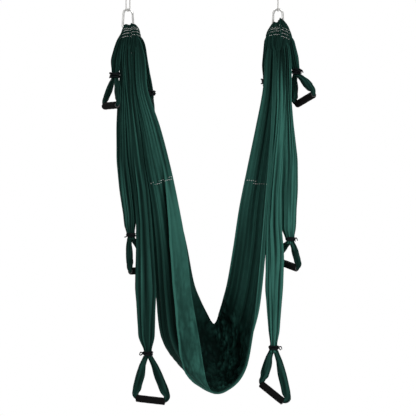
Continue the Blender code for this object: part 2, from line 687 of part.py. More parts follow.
def tube_along(maker, name, handle, outer, inner, finish, edge):
    """A tube along the grip's way, turned from its wall's profile."""
    half = GRIP_LENGTH / 2
    profile = [(outer, half - edge), (outer - edge, half), (inner, half)]
    profile += [(r, -z) for r, z in reversed(profile)]
    shape = bmesh.new()
    points = [shape.verts.new((r, 0, z)) for r, z in profile]
    for a, b in zip(points, points[1:] + points[:1]):
        shape.edges.new((a, b))
    bmesh.ops.spin(shape, geom=shape.verts[:] + shape.edges[:], axis=UP, cent=(0, 0, 0), angle=2 * math.pi,
                   steps=GRIP_SIDES, use_merge=True)
    bmesh.ops.remove_doubles(shape, verts=shape.verts, dist=GAP / 10)
    bmesh.ops.recalc_face_normals(shape, faces=shape.faces)
    mesh = bpy.data.meshes.new(name)
    shape.to_mesh(mesh)
    shape.free()
    smooth(mesh)
    made = maker.place(name, mesh, finish)
    made.location = handle.grip
    made.rotation_mode = "QUATERNION"
    made.rotation_quaternion = UP.rotation_difference(handle.way)


def handle_grip(maker, handle):
    seat = CORE_RADIUS + GAP
    bore = seat / math.cos(math.pi / GRIP_SIDES)
    tube_along(maker, handle.name + "_grip", handle, GRIP_RADIUS, bore, "foam", GRIP_EDGE)
    bore = CORE_BORE_RADIUS / math.cos(math.pi / GRIP_SIDES)
    tube_along(maker, handle.name + "_grip_core", handle, CORE_RADIUS, bore, "core", GRIP_EDGE / 2)


def cloth_grid():
    """The cloth's middle surface. A section is half an ellipse from the belly to each hem. Its main folds are
    a wave across it that fades at the heads, at the hems and in the seat."""
    scale = np.array([HANG_HALF_SPAN, -SLING_DROP, CLOTH_HALF_DEPTH])
    lines = (NEAR_HEM_SHARES, BELLY_SHARES, FAR_HEM_SHARES)
    near, belly, far = (smooth_line(line, CLOTH_ROWS) * scale for line in lines)
    across = np.linspace(-1, 1, CLOTH_COLUMNS)
    angle = np.abs(across)[None, :, None] * math.pi / 2
    hem = np.where((across < 0)[None, :, None], near[:, None, :], far[:, None, :])
    blend = np.concatenate([1 - np.cos(angle), 1 - np.cos(angle), np.sin(angle)], axis=2)
    grid = belly[:, None, :] + (hem - belly[:, None, :]) * blend
    grid = grid[:, :, [0, 2, 1]]
    down = np.gradient(grid, axis=0)
    side = np.gradient(grid, axis=1)
    normal = np.cross(down, side)
    normal /= np.linalg.norm(normal, axis=2, keepdims=True)
    row = np.linspace(0, 1, CLOTH_ROWS)
    fade = np.clip(np.minimum(row, 1 - row) / 0.2, 0, 1) * (0.45 + 0.55 * np.abs(2 * row - 1))
    wave = np.cos(across * math.pi * FOLD_COUNT) * np.cos(across * math.pi / 2) ** 0.3
    grid = grid + normal * (FOLD_HEIGHT * fade[:, None] * wave[None, :])[:, :, None]
    grid[:, :, 2] += BAR_Z - FOOT_DROP
    return grid


def main_head(maker, side):
    """The gathered end of the main cloth, round the bar and down to where the cloth opens."""
    lane = LANES.index("main")
    first, second = (FOOT_DROP + point[0] * SLING_DROP for point in LANE_EDGE_SHARES[side][lane][:2])
    levels = lug_levels() + [(FOOT_DROP + share * SLING_DROP, HEAD_RADIUS) for share in HEAD_LEVEL_SHARES]
    levels += [(first, (HEAD_RADIUS + MAIN_HEAD_DEPTH) / 2), (second, MAIN_HEAD_DEPTH),
               (MAIN_HEAD_END, MAIN_HEAD_DEPTH)]
    rings = [lane_ring(side, lane, drop, 0, depth, HEAD_SIDES) for drop, depth in levels]
    return maker.place("main_head", skin("main_head", rings), "nylon")


def main_cloth(maker):
    grid = cloth_grid()
    rows, columns = grid.shape[:2]
    faces = []
    for r in range(rows - 1):
        for c in range(columns - 1):
            low = r * columns + c
            faces.append((low, low + 1, low + columns + 1, low + columns))
    mesh = mesh_from("hammock_cloth", grid.reshape(-1, 3), faces)
    smooth(mesh, math.radians(80))
    made = maker.place("hammock_cloth", mesh, "nylon")
    wall = made.modifiers.new("wall", "SOLIDIFY")
    wall.thickness = CLOTH_THICKNESS
    wall.offset = 0
    for side in SIDES:
        maker.boolean(made, main_head(maker, side), "UNION")
    for side in SIDES:
        maker.boolean(made, bar_hole(maker, side), "DIFFERENCE")


def main():
    clear_scene()
    maker = Maker()
    for side in SIDES:
        ceiling_plate(maker, side)
        ceiling_eye(maker, side)
        cord_loop(maker, side)
        hook_frame(maker, side)
        hook_gate(maker, side)
    main_cloth(maker)
    for name in HANDLE_SHARES:
        handle = Handle(name)
        handle_strap(maker, handle)
        handle_tie(maker, handle)
        handle_grip(maker, handle)


main()
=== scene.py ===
"""Looks for the aerial hammock: fluted nylon, pleated straps, ties and foam grips, steel hooks and cords.

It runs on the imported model, whose bodies every piece rides on. Lengths are in metres, +Z is up, and the
viewer stands at -Y. A table whose name ends in SHARES holds shares of the sizes that its comment names.
"""

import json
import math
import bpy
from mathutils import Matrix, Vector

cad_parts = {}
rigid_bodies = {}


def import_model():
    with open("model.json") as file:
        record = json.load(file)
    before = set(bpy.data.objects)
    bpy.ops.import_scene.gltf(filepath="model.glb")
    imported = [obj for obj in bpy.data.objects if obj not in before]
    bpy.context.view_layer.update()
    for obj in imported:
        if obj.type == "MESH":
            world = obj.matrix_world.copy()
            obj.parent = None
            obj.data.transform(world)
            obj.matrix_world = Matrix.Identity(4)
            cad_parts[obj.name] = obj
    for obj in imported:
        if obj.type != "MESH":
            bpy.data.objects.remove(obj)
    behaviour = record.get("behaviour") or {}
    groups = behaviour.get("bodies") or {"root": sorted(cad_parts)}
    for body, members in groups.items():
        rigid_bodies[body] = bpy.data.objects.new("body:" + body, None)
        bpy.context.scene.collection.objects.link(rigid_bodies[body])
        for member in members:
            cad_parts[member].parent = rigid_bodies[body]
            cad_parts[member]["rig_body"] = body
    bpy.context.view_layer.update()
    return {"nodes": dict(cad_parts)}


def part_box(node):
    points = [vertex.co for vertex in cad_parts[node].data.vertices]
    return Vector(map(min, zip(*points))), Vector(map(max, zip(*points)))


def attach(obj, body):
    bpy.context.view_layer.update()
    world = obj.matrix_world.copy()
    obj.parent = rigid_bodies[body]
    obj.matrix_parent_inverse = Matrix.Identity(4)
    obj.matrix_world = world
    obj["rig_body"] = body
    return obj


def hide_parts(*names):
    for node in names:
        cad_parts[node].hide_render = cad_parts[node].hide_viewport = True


bl_info = {
    "name": "Aerial Hammock",
    "version": (1, 0, 0),
    "blender": (4, 5, 0),
    "location": "3D View > Sidebar > Hammock",
    "description": "Dresses the aerial hammock in fluted nylon, pleated straps, foam grips, steel and cord",
    "category": "Object",
}

import bmesh
import bpy
import numpy as np
from mathutils import Vector

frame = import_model()

SIDES = {"left": -1, "right": 1}  # the sign of the way outwards from the middle
KINDS = ("short", "medium", "long", "inner")
HANDLES = tuple(side + "_" + kind for side in SIDES for kind in KINDS)
TURN = 2 * math.pi

# The cloth's near hem, belly and far hem from the left hook to the right one. Each point is the way right by
# half the span, the drop by the sling's drop and the depth by the half depth.
HANG_HALF_SPAN = 0.255
SLING_DROP = 1.236
CLOTH_HALF_DEPTH = 0.140
CLOTH_TOP_Z = -0.151
SLING_ROWS = 330
SLING_COLUMNS = 144
NEAR_HEM_SHARES = (
    (-0.82, 0.037, -0.07), (-0.768, 0.084, -0.13), (-0.735, 0.167, -0.21), (-0.573, 0.266, -0.32),
    (-0.433, 0.376, -0.4), (-0.32, 0.486, -0.46), (-0.22, 0.602, -0.54), (-0.16, 0.717, -0.68),
    (-0.06, 0.833, -0.84), (0.012, 0.926, -0.94), (0.06, 0.965, -0.98), (0.16, 0.99, -0.9),
    (0.4, 0.972, -0.78), (0.565, 0.925, -0.66), (0.662, 0.835, -0.54), (0.715, 0.728, -0.45),
    (0.77, 0.607, -0.38), (0.82, 0.486, -0.34), (0.865, 0.376, -0.3), (0.905, 0.266, -0.26),
    (0.925, 0.167, -0.2), (0.935, 0.084, -0.13), (0.933, 0.037, -0.064),
)
BELLY_SHARES = (
    (-0.931, 0.037, 0.0), (-0.962, 0.084, 0.02), (-0.945, 0.167, 0.05), (-0.875, 0.266, 0.08),
    (-0.805, 0.376, 0.08), (-0.74, 0.486, 0.09), (-0.69, 0.602, 0.1), (-0.645, 0.728, 0.08),
    (-0.575, 0.844, 0.05), (-0.375, 0.919, 0.07), (-0.1, 0.974, 0.0), (0.2, 0.998, -0.07),
    (0.427, 0.974, 0.0), (0.587, 0.924, 0.07), (0.66, 0.844, 0.04), (0.767, 0.755, 0.03),
    (0.85, 0.602, 0.09), (0.875, 0.486, 0.09), (0.92, 0.376, 0.08), (0.965, 0.266, 0.08),
    (0.992, 0.167, 0.05), (0.99, 0.084, 0.02), (0.973, 0.037, 0.0),
)
FAR_HEM_SHARES = (
    (-0.869, 0.037, 0.064), (-0.847, 0.084, 0.13), (-0.85, 0.167, 0.17), (-0.6, 0.266, 0.29),
    (-0.453, 0.376, 0.37), (-0.34, 0.486, 0.47), (-0.22, 0.596, 0.61), (-0.13, 0.695, 0.79),
    (-0.04, 0.747, 1.0), (0.063, 0.791, 1.18), (0.107, 0.808, 1.23), (0.15, 0.816, 1.25),
    (0.187, 0.806, 1.23), (0.213, 0.789, 1.18), (0.267, 0.75, 1.0), (0.333, 0.695, 0.79),
    (0.413, 0.596, 0.61), (0.493, 0.486, 0.47), (0.6, 0.376, 0.37), (0.71, 0.266, 0.24),
    (0.8, 0.167, 0.06), (0.835, 0.084, -0.03), (0.87, 0.037, -0.03),
)

# The gathered heads. Each knot is a height above the bar, the ring's middle from the hook's, its half width
# and its half depth.
HEAD_KNOTS = {
    "left": ((-0.085, 0.0, 0.030, 0.006), (-0.068, 0.003, 0.038, 0.012), (-0.050, 0.0055, 0.041, 0.0165),
             (-0.026, 0.009, 0.0365, 0.0185), (-0.006, 0.0095, 0.031, 0.0185), (0.005, 0.008, 0.0265, 0.017),
             (0.0125, 0.006, 0.0215, 0.014), (0.0135, 0.005, 0.0155, 0.0095), (0.005, 0.004, 0.012, 0.007),
             (-0.004, 0.003, 0.009, 0.005)),
    "right": ((-0.085, 0.0, 0.030, 0.006), (-0.068, 0.001, 0.042, 0.012), (-0.050, 0.003, 0.0478, 0.0165),
              (-0.027, 0.003, 0.0465, 0.0185), (-0.007, 0.003, 0.0395, 0.0185),
              (0.004, 0.003, 0.0355, 0.0175), (0.0145, 0.003, 0.028, 0.0155), (0.0225, 0.003, 0.021, 0.0115),
              (0.0225, 0.003, 0.0155, 0.008), (0.013, 0.002, 0.012, 0.007), (0.0, 0.0, 0.009, 0.005)),
}
HEAD_LOBES = {"left": (0.013, 0.004, 0.002), "right": (0.0085, -0.004, 0.010)}  # x of peak and dip, rise
HEAD_SHADE = 0.33  # painted shade: what of its lightness the cloth keeps in the gathered heads
CRUMPLES = ((0.010, 9), (0.018, 1), (0.032, 4))  # each one's size and its seed
CRUMPLE_DEPTH = 0.011  # of the wrinkles inside the seat
PANEL_STEP = 0.022  # how far the cloth steps inwards beyond the panel's ridge

# The stitches. The limb rows go between two places, each an x and a z.
HEAD_ROWS = 4
HEAD_FIRST_ROW = 28.5  # row of the head's grid that the lowest lie on
HEAD_ROW_GAP = 5  # rows of the head's grid
HEAD_STITCH_SLANT = {"left": 1.6, "right": -2.2}  # rows of the head's grid
HEAD_STITCH_LIFT = 0.0007  # how far they stand off the cloth
HEAD_THREAD = 0.00055  # radius
LIMB_STITCHES = {"left": ((-0.176, -0.672), (-0.107, -0.650)), "right": ((0.152, -0.660), (0.222, -0.668))}
LIMB_ROW_GAP = 0.0078
LIMB_STITCH_LIFT = 0.0022  # how far they stand in front of the cloth
LIMB_THREAD = 0.0009  # radius

# The straps, their arms and their ties
STRAP_PAINTED_LIGHT = {"left": 0.72, "right": 1.8}  # painted light and shade: how light each side's straps are painted where they hang open, lighter on the right
STRAP_DOME = 0.012  # height of the strap's rounded top
STRAP_FOOT = 0.0165  # how far the strap's skin goes on below the tie
STRAP_STEP = 0.0045  # height between its rings
STRAP_WIDER = 0.0036  # how far it stands out to each side of the CAD strap
STRAP_WIDER_TOP = 0.0028  # and how much further near the head
STRAP_DEEPER = 0.001  # how far it stands out in front and behind
ARM_HALF = {"short": 0.0185, "medium": 0.0160, "long": 0.0165, "inner": 0.0135}  # half width of an arm
ARM_START_OUT = 0.0075  # how far out from the tie's middle an arm starts
ARM_START_DROP = 0.0125  # how far below it
ARM_NECK = 0.0095  # half width of an arm at the tie
ARM_FOOT = 0.0120  # half width of an arm at the grip
ARM_DEPTH = 0.0088  # half depth of an arm
ARM_BOW = {"short": 0.12, "medium": 0.06, "long": 0.05, "inner": 0.06}  # bow outwards, by an arm's reach
ARM_OVERHANG = 0.0045  # how far past the grip's end an arm's middle line turns in
ARM_RISE = 0.006  # how far above the grip's skin an arm turns in
ARM_STEPS = 36  # rings of an arm down to the grip's end
BEND_STEPS = 10  # steps of its bend round the grip's end
ARM_PAINTED_LIGHT = {"left": 0.45, "right": 0.58}  # painted shade: how light each side's arms are painted, darker on the left
ROLL_RADIUS = 0.0058  # of the cloth inside the grip
ROLL_STEPS = 10  # its rings
TIE_TURNS = 6
TIE_BULK = {"short": 1.35, "medium": 0.8, "long": 0.9, "inner": 1.25}  # how far each tie's turns spread
EAR_REACH = 0.010  # how far out of its knot an ear ends
EAR_SPREAD = 0.006  # how far to its side
EAR_DROOP = 0.006  # how far its end hangs
EAR_BOW = 0.005  # how far its middle bows up or down

# The grips and cords
GRIP_BORE = 0.76  # radius of the bore, by the grip's
GRIP_EDGE = 0.0032  # radius of the grip's rounded ends
CORD_RADIUS = 0.002
CORD_LAYS = 14  # turns of the strands round a loop

# The stage
PHOTO_SIDE = 416  # pixels of the square photograph
METRES_PER_PIXEL = 0.0034
CAMERA_PLACE = (0.017, -7.0, -0.755)
LAMPS = {"key": ((1.8, -3.2, 1.7), 1.1, 115), "fill": ((-2.6, -3.0, 0.6), 2.0, 16),
         "rim": ((-0.6, 2.6, 1.4), 1.6, 25)}  # each one's place, size and power
LAMP_AIM = (0, 0, -0.75)
FLOOR_Z = -1.75
FLOOR_RADIUS = 2.4

made = {}  # the handles' places and the finishes that are asked for again, by name


# Places read from the CAD nodes
def corners(node):
    """A node's points."""
    points = np.empty(len(frame["nodes"][node].data.vertices) * 3)
    frame["nodes"][node].data.vertices.foreach_get("co", points)
    return points.reshape(-1, 3)


def level_cuts(node, heights):
    """For each height, the lowest and highest x and the lowest and highest y where a level plane cuts a
    node. An edge whose ends lie on both sides of the plane gives its point at that height."""
    data = frame["nodes"][node].data
    points = corners(node)
    ends = np.empty(len(data.edges) * 2, int)
    data.edges.foreach_get("vertices", ends)
    low, high = points[ends.reshape(-1, 2)].transpose(1, 0, 2)
    spans = []
    for height in heights:
        crossing = (low[:, 2] - height) * (high[:, 2] - height) < 0
        a = low[crossing]
        b = high[crossing]
        share = ((height - a[:, 2]) / (b[:, 2] - a[:, 2]))[:, None]
        cut = a + (b - a) * share
        spans.append((cut[:, 0].min(), cut[:, 0].max(), cut[:, 1].min(), cut[:, 1].max()))
    return np.array(spans)


def long_way(points):
    """The way in which points about the origin spread most, which is their first singular vector."""
    return np.linalg.svd(points, full_matrices=False)[2][0]


class HandlePlaces:
    """A handle's tie, its grip's middle, way and sizes, and the ways square to it, from its CAD nodes."""

    def __init__(self, name):
        self.name = name
        self.side, self.kind = name.split("_")
        low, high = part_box(name + "_tie")
        height = (low.z + high.z) / 2
        left, right, near, far = level_cuts(name + "_strap", [height + 0.0001])[0]
        self.tie = np.array([(left + right) / 2, (near + far) / 2, height])
        self.neck_radius = (far - near) / 2
        low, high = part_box(name + "_grip")
        self.grip = np.array((low + high) / 2)
        points = corners(name + "_grip") - self.grip
        way = long_way(points)
        self.way = way if way[0] > 0 else -way
        self.half_length = (points @ self.way).max()
        self.radius = np.linalg.norm(points - np.outer(points @ self.way, self.way), axis=1).max()
        self.level_way = unit(self.way * (1, 1, 0))
        self.normal = unit(np.cross(self.way, self.tie - self.grip))
        self.rise = unit(np.cross(self.normal, self.way))


# Sums
def smooth_line(points, shares):
    """A Catmull-Rom curve through the points, read at shares of its parameter."""
    known = np.array(points, float)
    known = np.vstack([2 * known[0] - known[1], known, 2 * known[-1] - known[-2]])
    place = shares * (len(points) - 1)
    index = np.minimum(place.astype(int), len(points) - 2)
    t = (place - index)[:, None]
    a, b, c, d = (known[index + k] for k in range(4))
    return 0.5 * (2 * b + (c - a) * t + (2 * a - 5 * b + 4 * c - d) * t**2 + (3 * b - a - 3 * c + d) * t**3)


def ease(share):
    """A smooth step from 0 to 1: three times the share's square less twice its cube."""
    share = np.clip(share, 0, 1)
    return share * share * (3 - 2 * share)


def unit(vectors):
    """Each vector over its length."""
    return vectors / np.maximum(np.linalg.norm(vectors, axis=-1, keepdims=True), 1e-12)


def shares_round(columns):
    """The even shares of a full turn, as one row."""
    return np.arange(columns)[None, :] / columns


def squared(angle, power):
    """The cosine and the sine of an angle, each raised to a power with its sign kept. A power below 1
    squares the corners of an oval."""
    c = np.cos(angle)
    s = np.sin(angle)
    return np.sign(c) * np.abs(c) ** power, np.sign(s) * np.abs(s) ** power


def way_along(line):
    """The length of a line of points up to each of them."""
    return np.concatenate([[0], np.cumsum(np.linalg.norm(np.diff(line, axis=0), axis=1))])


def chance(number, seed):
    """A fixed number from 0 to 1 for each whole number: the odd part of a fast sine."""
    return np.mod(np.sin(number * 12.9898 + seed * 78.233) * 43758.5453, 1)


def grooves(across, along, count, seed):
    """Lengthwise grooves, 1 in their middles and near 0 on the crests between them. Each is a bell curve of
    the way across, set off its even place by its own chance, that wanders by slow sines and fades in and
    out."""
    width = 0.16
    wander = 0.22 * np.sin(TURN * 0.8 * along + seed) + 0.12 * np.sin(TURN * 2.3 * along + 2.1 * seed)
    phase = across * count + wander + 0.37 * seed
    nearest = np.round(phase)
    luck = chance(np.mod(nearest, count), seed)
    near = phase - nearest - 0.3 * (luck - 0.5)
    deep = 0.5 + 0.5 * np.sin(TURN * (1.6 * along * (0.6 + 0.8 * luck) + 5 * luck))
    return (0.3 + 0.7 * deep) * np.exp(-((near / width) ** 2))


def flutes(across, along, waves, seed):
    """Lengthwise folds, 0 in the deepest grooves and 1 on the crests. Each wave is a rounded cosine of the
    way across, whose crests lie at uneven places and wander along the cloth, less a set of narrow grooves.
    The waves are added by their weights."""
    total = 0
    weights = 0
    for k, (count, weight) in enumerate(waves):
        start = seed * 1.7 + k * 2.3
        uneven = 0.32 * np.sin(TURN * 2 * across + start)
        uneven = uneven + 0.24 * np.sin(TURN * 3 * across + 2 * start + 1.5 * along)
        wander = 0.3 * np.sin(TURN * 0.7 * along + start) + 0.16 * np.sin(TURN * 1.9 * along + 2 * start)
        wave = 0.5 + 0.5 * np.cos(TURN * (count * across + uneven + wander))
        strength = 0.65 + 0.35 * np.sin(TURN * (1.1 * along + across) + start)
        cut = grooves(across, along, count, seed + 1.3 * k)
        total = total + weight * np.clip(0.5 + (wave**0.8 - 0.5) * strength - 0.55 * cut, 0, 1)
        weights += weight
    return np.clip(total / weights * 1.25 - 0.05, 0, 1)


def cloud(points, size, seed):
    """Smooth noise from 0 to 1: a chance for each corner of a grid of cubes, blended inside a cube by
    smooth steps of the three ways."""
    place = points / size
    low = np.floor(place)
    part = ease(place - low)
    total = 0
    for corner in np.ndindex(2, 2, 2):
        weight = np.prod(np.where(np.array(corner) > 0, part, 1 - part), axis=-1)
        total = total + weight * chance((low + corner) @ np.array([1.0, 57.0, 113.0]), seed)
    return total


def crumple(points, size, seed):
    """Creases from 0 to 1, sharp along their crests: 1 less twice the noise's distance from a half, cubed,
    at two sizes, in places that slower noise has pushed about."""
    push = np.stack([cloud(points, size * 2.5, seed + k) - 0.5 for k in range(3)], axis=-1)
    pushed = points + 0.9 * size * push
    total = 0
    for part, weight in ((1.0, 0.6), (0.55, 0.4)):
        total = total + weight * (1 - np.abs(2 * cloud(pushed, size * part, seed + 7 * part) - 1)) ** 3
    return np.clip(total * 1.6, 0, 1)


def read_grid(grid, row, column):
    """A grid's values between its points, with its columns joined end to end."""
    low = np.clip(np.floor(row).astype(int), 0, grid.shape[0] - 2)
    start = np.floor(column).astype(int)
    a = (row - low)[:, None]
    b = (column - start)[:, None]
    left = start % grid.shape[1]
    right = (start + 1) % grid.shape[1]
    near = grid[low, left] * (1 - b) + grid[low, right] * b
    far = grid[low + 1, left] * (1 - b) + grid[low + 1, right] * b
    return near * (1 - a) + far * a


# Meshes
def lattice(rows, columns, wrap=False):
    """The four corner numbers of each face of a grid of points, whose last column may join its first."""
    row = np.arange(rows - 1)[:, None]
    column = np.arange(columns if wrap else columns - 1)[None, :]
    after = (column + 1) % columns
    low = row * columns
    high = low + columns
    return np.stack([low + column, low + after, high + after, high + column], axis=-1).reshape(-1, 4)


def flat_corners(around, along):
    """The flat map of each face's corners, from the way round and the way along of a grid's points."""
    flat = np.stack(np.broadcast_arrays(around, along), axis=-1)
    return np.stack([flat[:-1, :-1], flat[:-1, 1:], flat[1:, 1:], flat[1:, :-1]], axis=2).reshape(-1, 2)


def put_piece(name, points, faces, looks, flat_map=None, fold=None):
    """A mesh object from its points and lists of faces, with the flat map's corners in the order of the
    faces and a float layer on the points for the folds' painted shade and highlight."""
    mesh = bpy.data.meshes.new(name)
    mesh.from_pydata(points.reshape(-1, 3).tolist(), [], faces)
    if flat_map is not None:
        mesh.uv_layers.new(name="UVMap").data.foreach_set("uv", flat_map.astype(np.float32).ravel())
    if fold is not None:
        layer = mesh.attributes.new("fold", "FLOAT", "POINT")
        layer.data.foreach_set("value", fold.astype(np.float32).ravel())
    mesh.update()
    mesh.validate()
    piece = bpy.data.objects.new(name, mesh)
    bpy.context.scene.collection.objects.link(piece)
    mesh.shade_smooth()
    mesh.materials.append(looks)
    return piece


def face_outwards(piece):
    """Turns a closed piece's faces outwards."""
    shape = bmesh.new()
    shape.from_mesh(piece.data)
    bmesh.ops.recalc_face_normals(shape, faces=shape.faces)
    shape.to_mesh(piece.data)
    shape.free()


def sheath(name, rings, looks, closed=False, fold=None):
    """A closed skin through rings of points, with a pole in the middle of each end, or with its ends joined
    where closed. The flat map is the way round and the way along, in metres."""
    rows, columns = rings.shape[:2]
    wrapped = np.concatenate([rings, rings[:1]]) if closed else rings
    faces = (lattice(len(wrapped), columns, wrap=True) % (rows * columns)).tolist()
    along = way_along(wrapped.mean(axis=1))
    step = np.linalg.norm(np.diff(np.concatenate([wrapped, wrapped[:, :1]], axis=1), axis=1), axis=2)
    around = np.concatenate([[0], np.cumsum(step.mean(axis=0))])
    flat_map = flat_corners(around[None, :], along[:, None])
    points = rings.reshape(-1, 3)
    column = np.arange(columns)
    after = (column + 1) % columns
    for row in () if closed else (0, rows - 1):
        pole = np.full(columns, len(points))
        points = np.vstack([points, rings[row].mean(axis=0)])
        faces += np.stack([pole, row * columns + after, row * columns + column], axis=1).tolist()
        fan = np.stack([around[:-1], np.full(columns, along[row])], axis=1)
        flat_map = np.vstack([flat_map, np.repeat(fan, 3, axis=0)])
    if fold is not None:
        fold = np.broadcast_to(fold, (rows, columns))
        ends = [] if closed else [fold[0].mean(), fold[-1].mean()]
        fold = np.concatenate([fold.ravel(), ends])
    piece = put_piece(name, points, faces, looks, flat_map, fold)
    face_outwards(piece)
    return piece


def carried(path, normal=None, closed=False):
    """Two unit vectors square to a path at each of its points. The first is square to the given normal too,
    or else it is the one before it with its part along the path taken out. Round a closed path the turn
    that is left over at its end is spread along it."""
    if closed:
        tangent = unit(np.roll(path, -1, axis=0) - np.roll(path, 1, axis=0))
    else:
        tangent = unit(np.gradient(path, axis=0))
    if normal is not None:
        first = unit(np.cross(np.broadcast_to(normal, tangent.shape), tangent))
        return first, unit(np.cross(tangent, first))
    sides = [unit(np.cross(tangent[0], (0.31, 0.87, 0.38)))]
    for way in tangent[1:]:
        sides.append(unit(sides[-1] - way * (sides[-1] @ way)))
    first = np.array(sides)
    if closed:
        drift = math.atan2(first[0] @ np.cross(tangent[0], sides[-1]), first[0] @ sides[-1])
        turn = drift * np.arange(len(path))[:, None] / len(path)
        first = first * np.cos(turn) + np.cross(tangent, first) * np.sin(turn)
    return first, np.cross(tangent, first)


def ring_points(path, ways, half, deep, angle, power=1.0):
    """Ovals round a path. A point stands off it along the first way by the half width times the angle's
    cosine and along the second by the half depth times its sine, both raised to the power."""
    first, second = (np.atleast_2d(way)[:, None, :] for way in ways)
    c, s = squared(angle, power)
    return path[:, None, :] + first * (half * c)[:, :, None] + second * (deep * s)[:, :, None]


def tube(path, radius, columns, closed=False):
    """Round rings carried along a path, whose radius may change along it."""
    radius = np.broadcast_to(radius, len(path))[:, None]
    return ring_points(path, carried(path, closed=closed), radius, radius, TURN * shares_round(columns))


# Shader nodes
class Nodes:
    """The nodes of a tree. Every one comes from the node method."""

    def __init__(self, tree):
        self.tree = tree

    def node(self, kind, settings=None, inputs=None, output=0):
        """Adds a node, sets its settings, then fills its sockets with values or links. Gives an output."""
        node = self.tree.nodes.new(kind)
        for key, value in (settings or {}).items():
            if key == "stops":
                ramp = node.color_ramp
                while len(ramp.elements) < len(value):
                    ramp.elements.new(0.5)
                for element, (place, colour) in zip(ramp.elements, value):
                    element.position = place
                    element.color = colour
            else:
                setattr(node, key, value)
        for key, value in (inputs or {}).items():
            self.fill(node.inputs[key], value)
        return Number(self, node.outputs[output])

    def fill(self, socket, value):
        """Links a socket, or sets its value."""
        if isinstance(value, Number):
            self.tree.links.new(value.socket, socket)
        elif socket.type == "RGBA" and len(value) == 3:
            socket.default_value = (*value, 1)
        else:
            socket.default_value = value

    def sum(self, operation, *values):
        """A Math node on values or links."""
        return self.node("ShaderNodeMath", {"operation": operation}, dict(enumerate(values)))


class Look(Nodes):
    """One material, with its shader and the patterns that the finishes use."""

    def __init__(self, name):
        self.material = bpy.data.materials.new(name)
        self.material.use_nodes = True
        super().__init__(self.material.node_tree)
        self.shader = self.tree.nodes["Principled BSDF"]

    def set(self, **values):
        """Fills the shader's sockets, whose names have underscores for spaces."""
        for key, value in values.items():
            self.fill(self.shader.inputs[key.replace("_", " ")], value)

    def colour(self, key, strength=1.0, lift=0.0):
        """A colour of the settings, times a strength, plus a lift."""
        return [c * strength + lift for c in getattr(bpy.context.scene.hammock_colours, key)[:3]]

    def noise(self, scale, detail, rough=0.5, stretch=(1.0, 1.0, 1.0)):
        """A noise from 0 to 1 on the object's own coordinates, drawn out by a stretch."""
        where = self.node("ShaderNodeTexCoord", output="Object")
        where = self.node("ShaderNodeMapping", None, {"Vector": where, "Scale": stretch})
        inputs = {"Vector": where, "Scale": scale, "Detail": detail, "Roughness": rough}
        return self.node("ShaderNodeTexNoise", None, inputs)

    def flat_place(self):
        """The piece's own flat map."""
        return self.node("ShaderNodeTexCoord", output="UV")

    def fold(self):
        """The piece's fold layer, which paints shade and highlight into the colour: 0 in the grooves and 1
        on the crests.
        """
        return self.node("ShaderNodeAttribute", {"attribute_name": "fold"}, output="Fac")

    def mix(self, share, low, high):
        """A colour between two, by a share."""
        return self.node("ShaderNodeMix", {"data_type": "RGBA"}, {0: share, 6: low, 7: high}, output=2)

    def ramp(self, value, *stops):
        """A number from 0 to 1 that follows stops of a place and a height."""
        stops = [(place, (height, height, height, 1)) for place, height in stops]
        return self.node("ShaderNodeValToRGB", {"stops": stops}, {"Fac": value})

    def bump(self, height, distance, strength, under=None):
        """A normal tilted by a height, over the normal under it."""
        inputs = {"Height": height, "Distance": distance, "Strength": strength}
        if under is not None:
            inputs["Normal"] = under
        return self.node("ShaderNodeBump", None, inputs)


class Number:
    """A socket whose sums with other sockets or numbers add Math nodes."""

    def __init__(self, nodes, socket):
        self.nodes = nodes
        self.socket = socket

    def __add__(self, other):
        return self.nodes.sum("ADD", self, other)

    def __radd__(self, other):
        return self.nodes.sum("ADD", other, self)

    def __sub__(self, other):
        return self.nodes.sum("SUBTRACT", self, other)

    def __rsub__(self, other):
        return self.nodes.sum("SUBTRACT", other, self)

    def __mul__(self, other):
        return self.nodes.sum("MULTIPLY", self, other)

    def __rmul__(self, other):
        return self.nodes.sum("MULTIPLY", other, self)

    def clamped(self):
        """The number, kept from 0 to 1."""
        return self.nodes.sum("MINIMUM", self.nodes.sum("MAXIMUM", self, 0.0), 1.0)


def finish_named(name, fill):
    """The material of that name, filled by a finish the first time that it is asked for."""
    key = "finish " + name
    if key not in made:
        look = Look(name)
        fill(look)
        made[key] = look.material
    return made[key]


def nylon_finish(look):
    """Dark green parachute nylon: painted shade in the grooves and a painted, greyer highlight on the
    crests, with a weave, small creases and a soft sheen.
    """
    fold = look.fold()
    broad = look.noise(7.0, 3.0, stretch=(1.0, 1.0, 0.35))
    fine = look.noise(60.0, 3.0, stretch=(1.0, 1.0, 0.5))
    # The fold layer's painted shade and highlight, spread by a ramp; the two noises vary the tone at random
    shade = look.ramp(fold, (0.0, 0.02), (0.3, 0.2), (0.6, 0.5), (0.92, 1.0))
    shade = shade * (0.8 + 0.4 * broad) * (0.85 + 0.3 * fine)
    # Painted shade and highlight: a dark copy of the nylon for the grooves and a lighter, greyer copy for
    # the crests
    dark, light = look.colour("nylon", 0.05), look.colour("nylon", 2.3, 0.008)
    look.set(Base_Color=look.mix(shade.clamped(), dark, light))
    inputs = {"Vector": look.flat_place(), "Scale": 1600.0}
    weave = look.node("ShaderNodeTexChecker", None, inputs, output="Fac")
    creases = look.noise(26.0, 5.0, stretch=(1.0, 1.0, 0.3), rough=0.62)
    normal = look.bump(creases, 0.006, 0.8)
    normal = look.bump(look.noise(90.0, 4.0, rough=0.6), 0.0016, 0.6, normal)
    look.set(Normal=look.bump(weave, 0.00008, 0.3, normal))
    look.set(Roughness=(0.40 + 0.22 * fine + 0.12 * (1 - fold)).clamped())
    look.set(Specular_IOR_Level=0.02, Sheen_Weight=0.04, Sheen_Roughness=0.45, Sheen_Tint=(0.35, 0.75, 0.62))
    look.material.diffuse_color = (*look.colour("nylon"), 1)


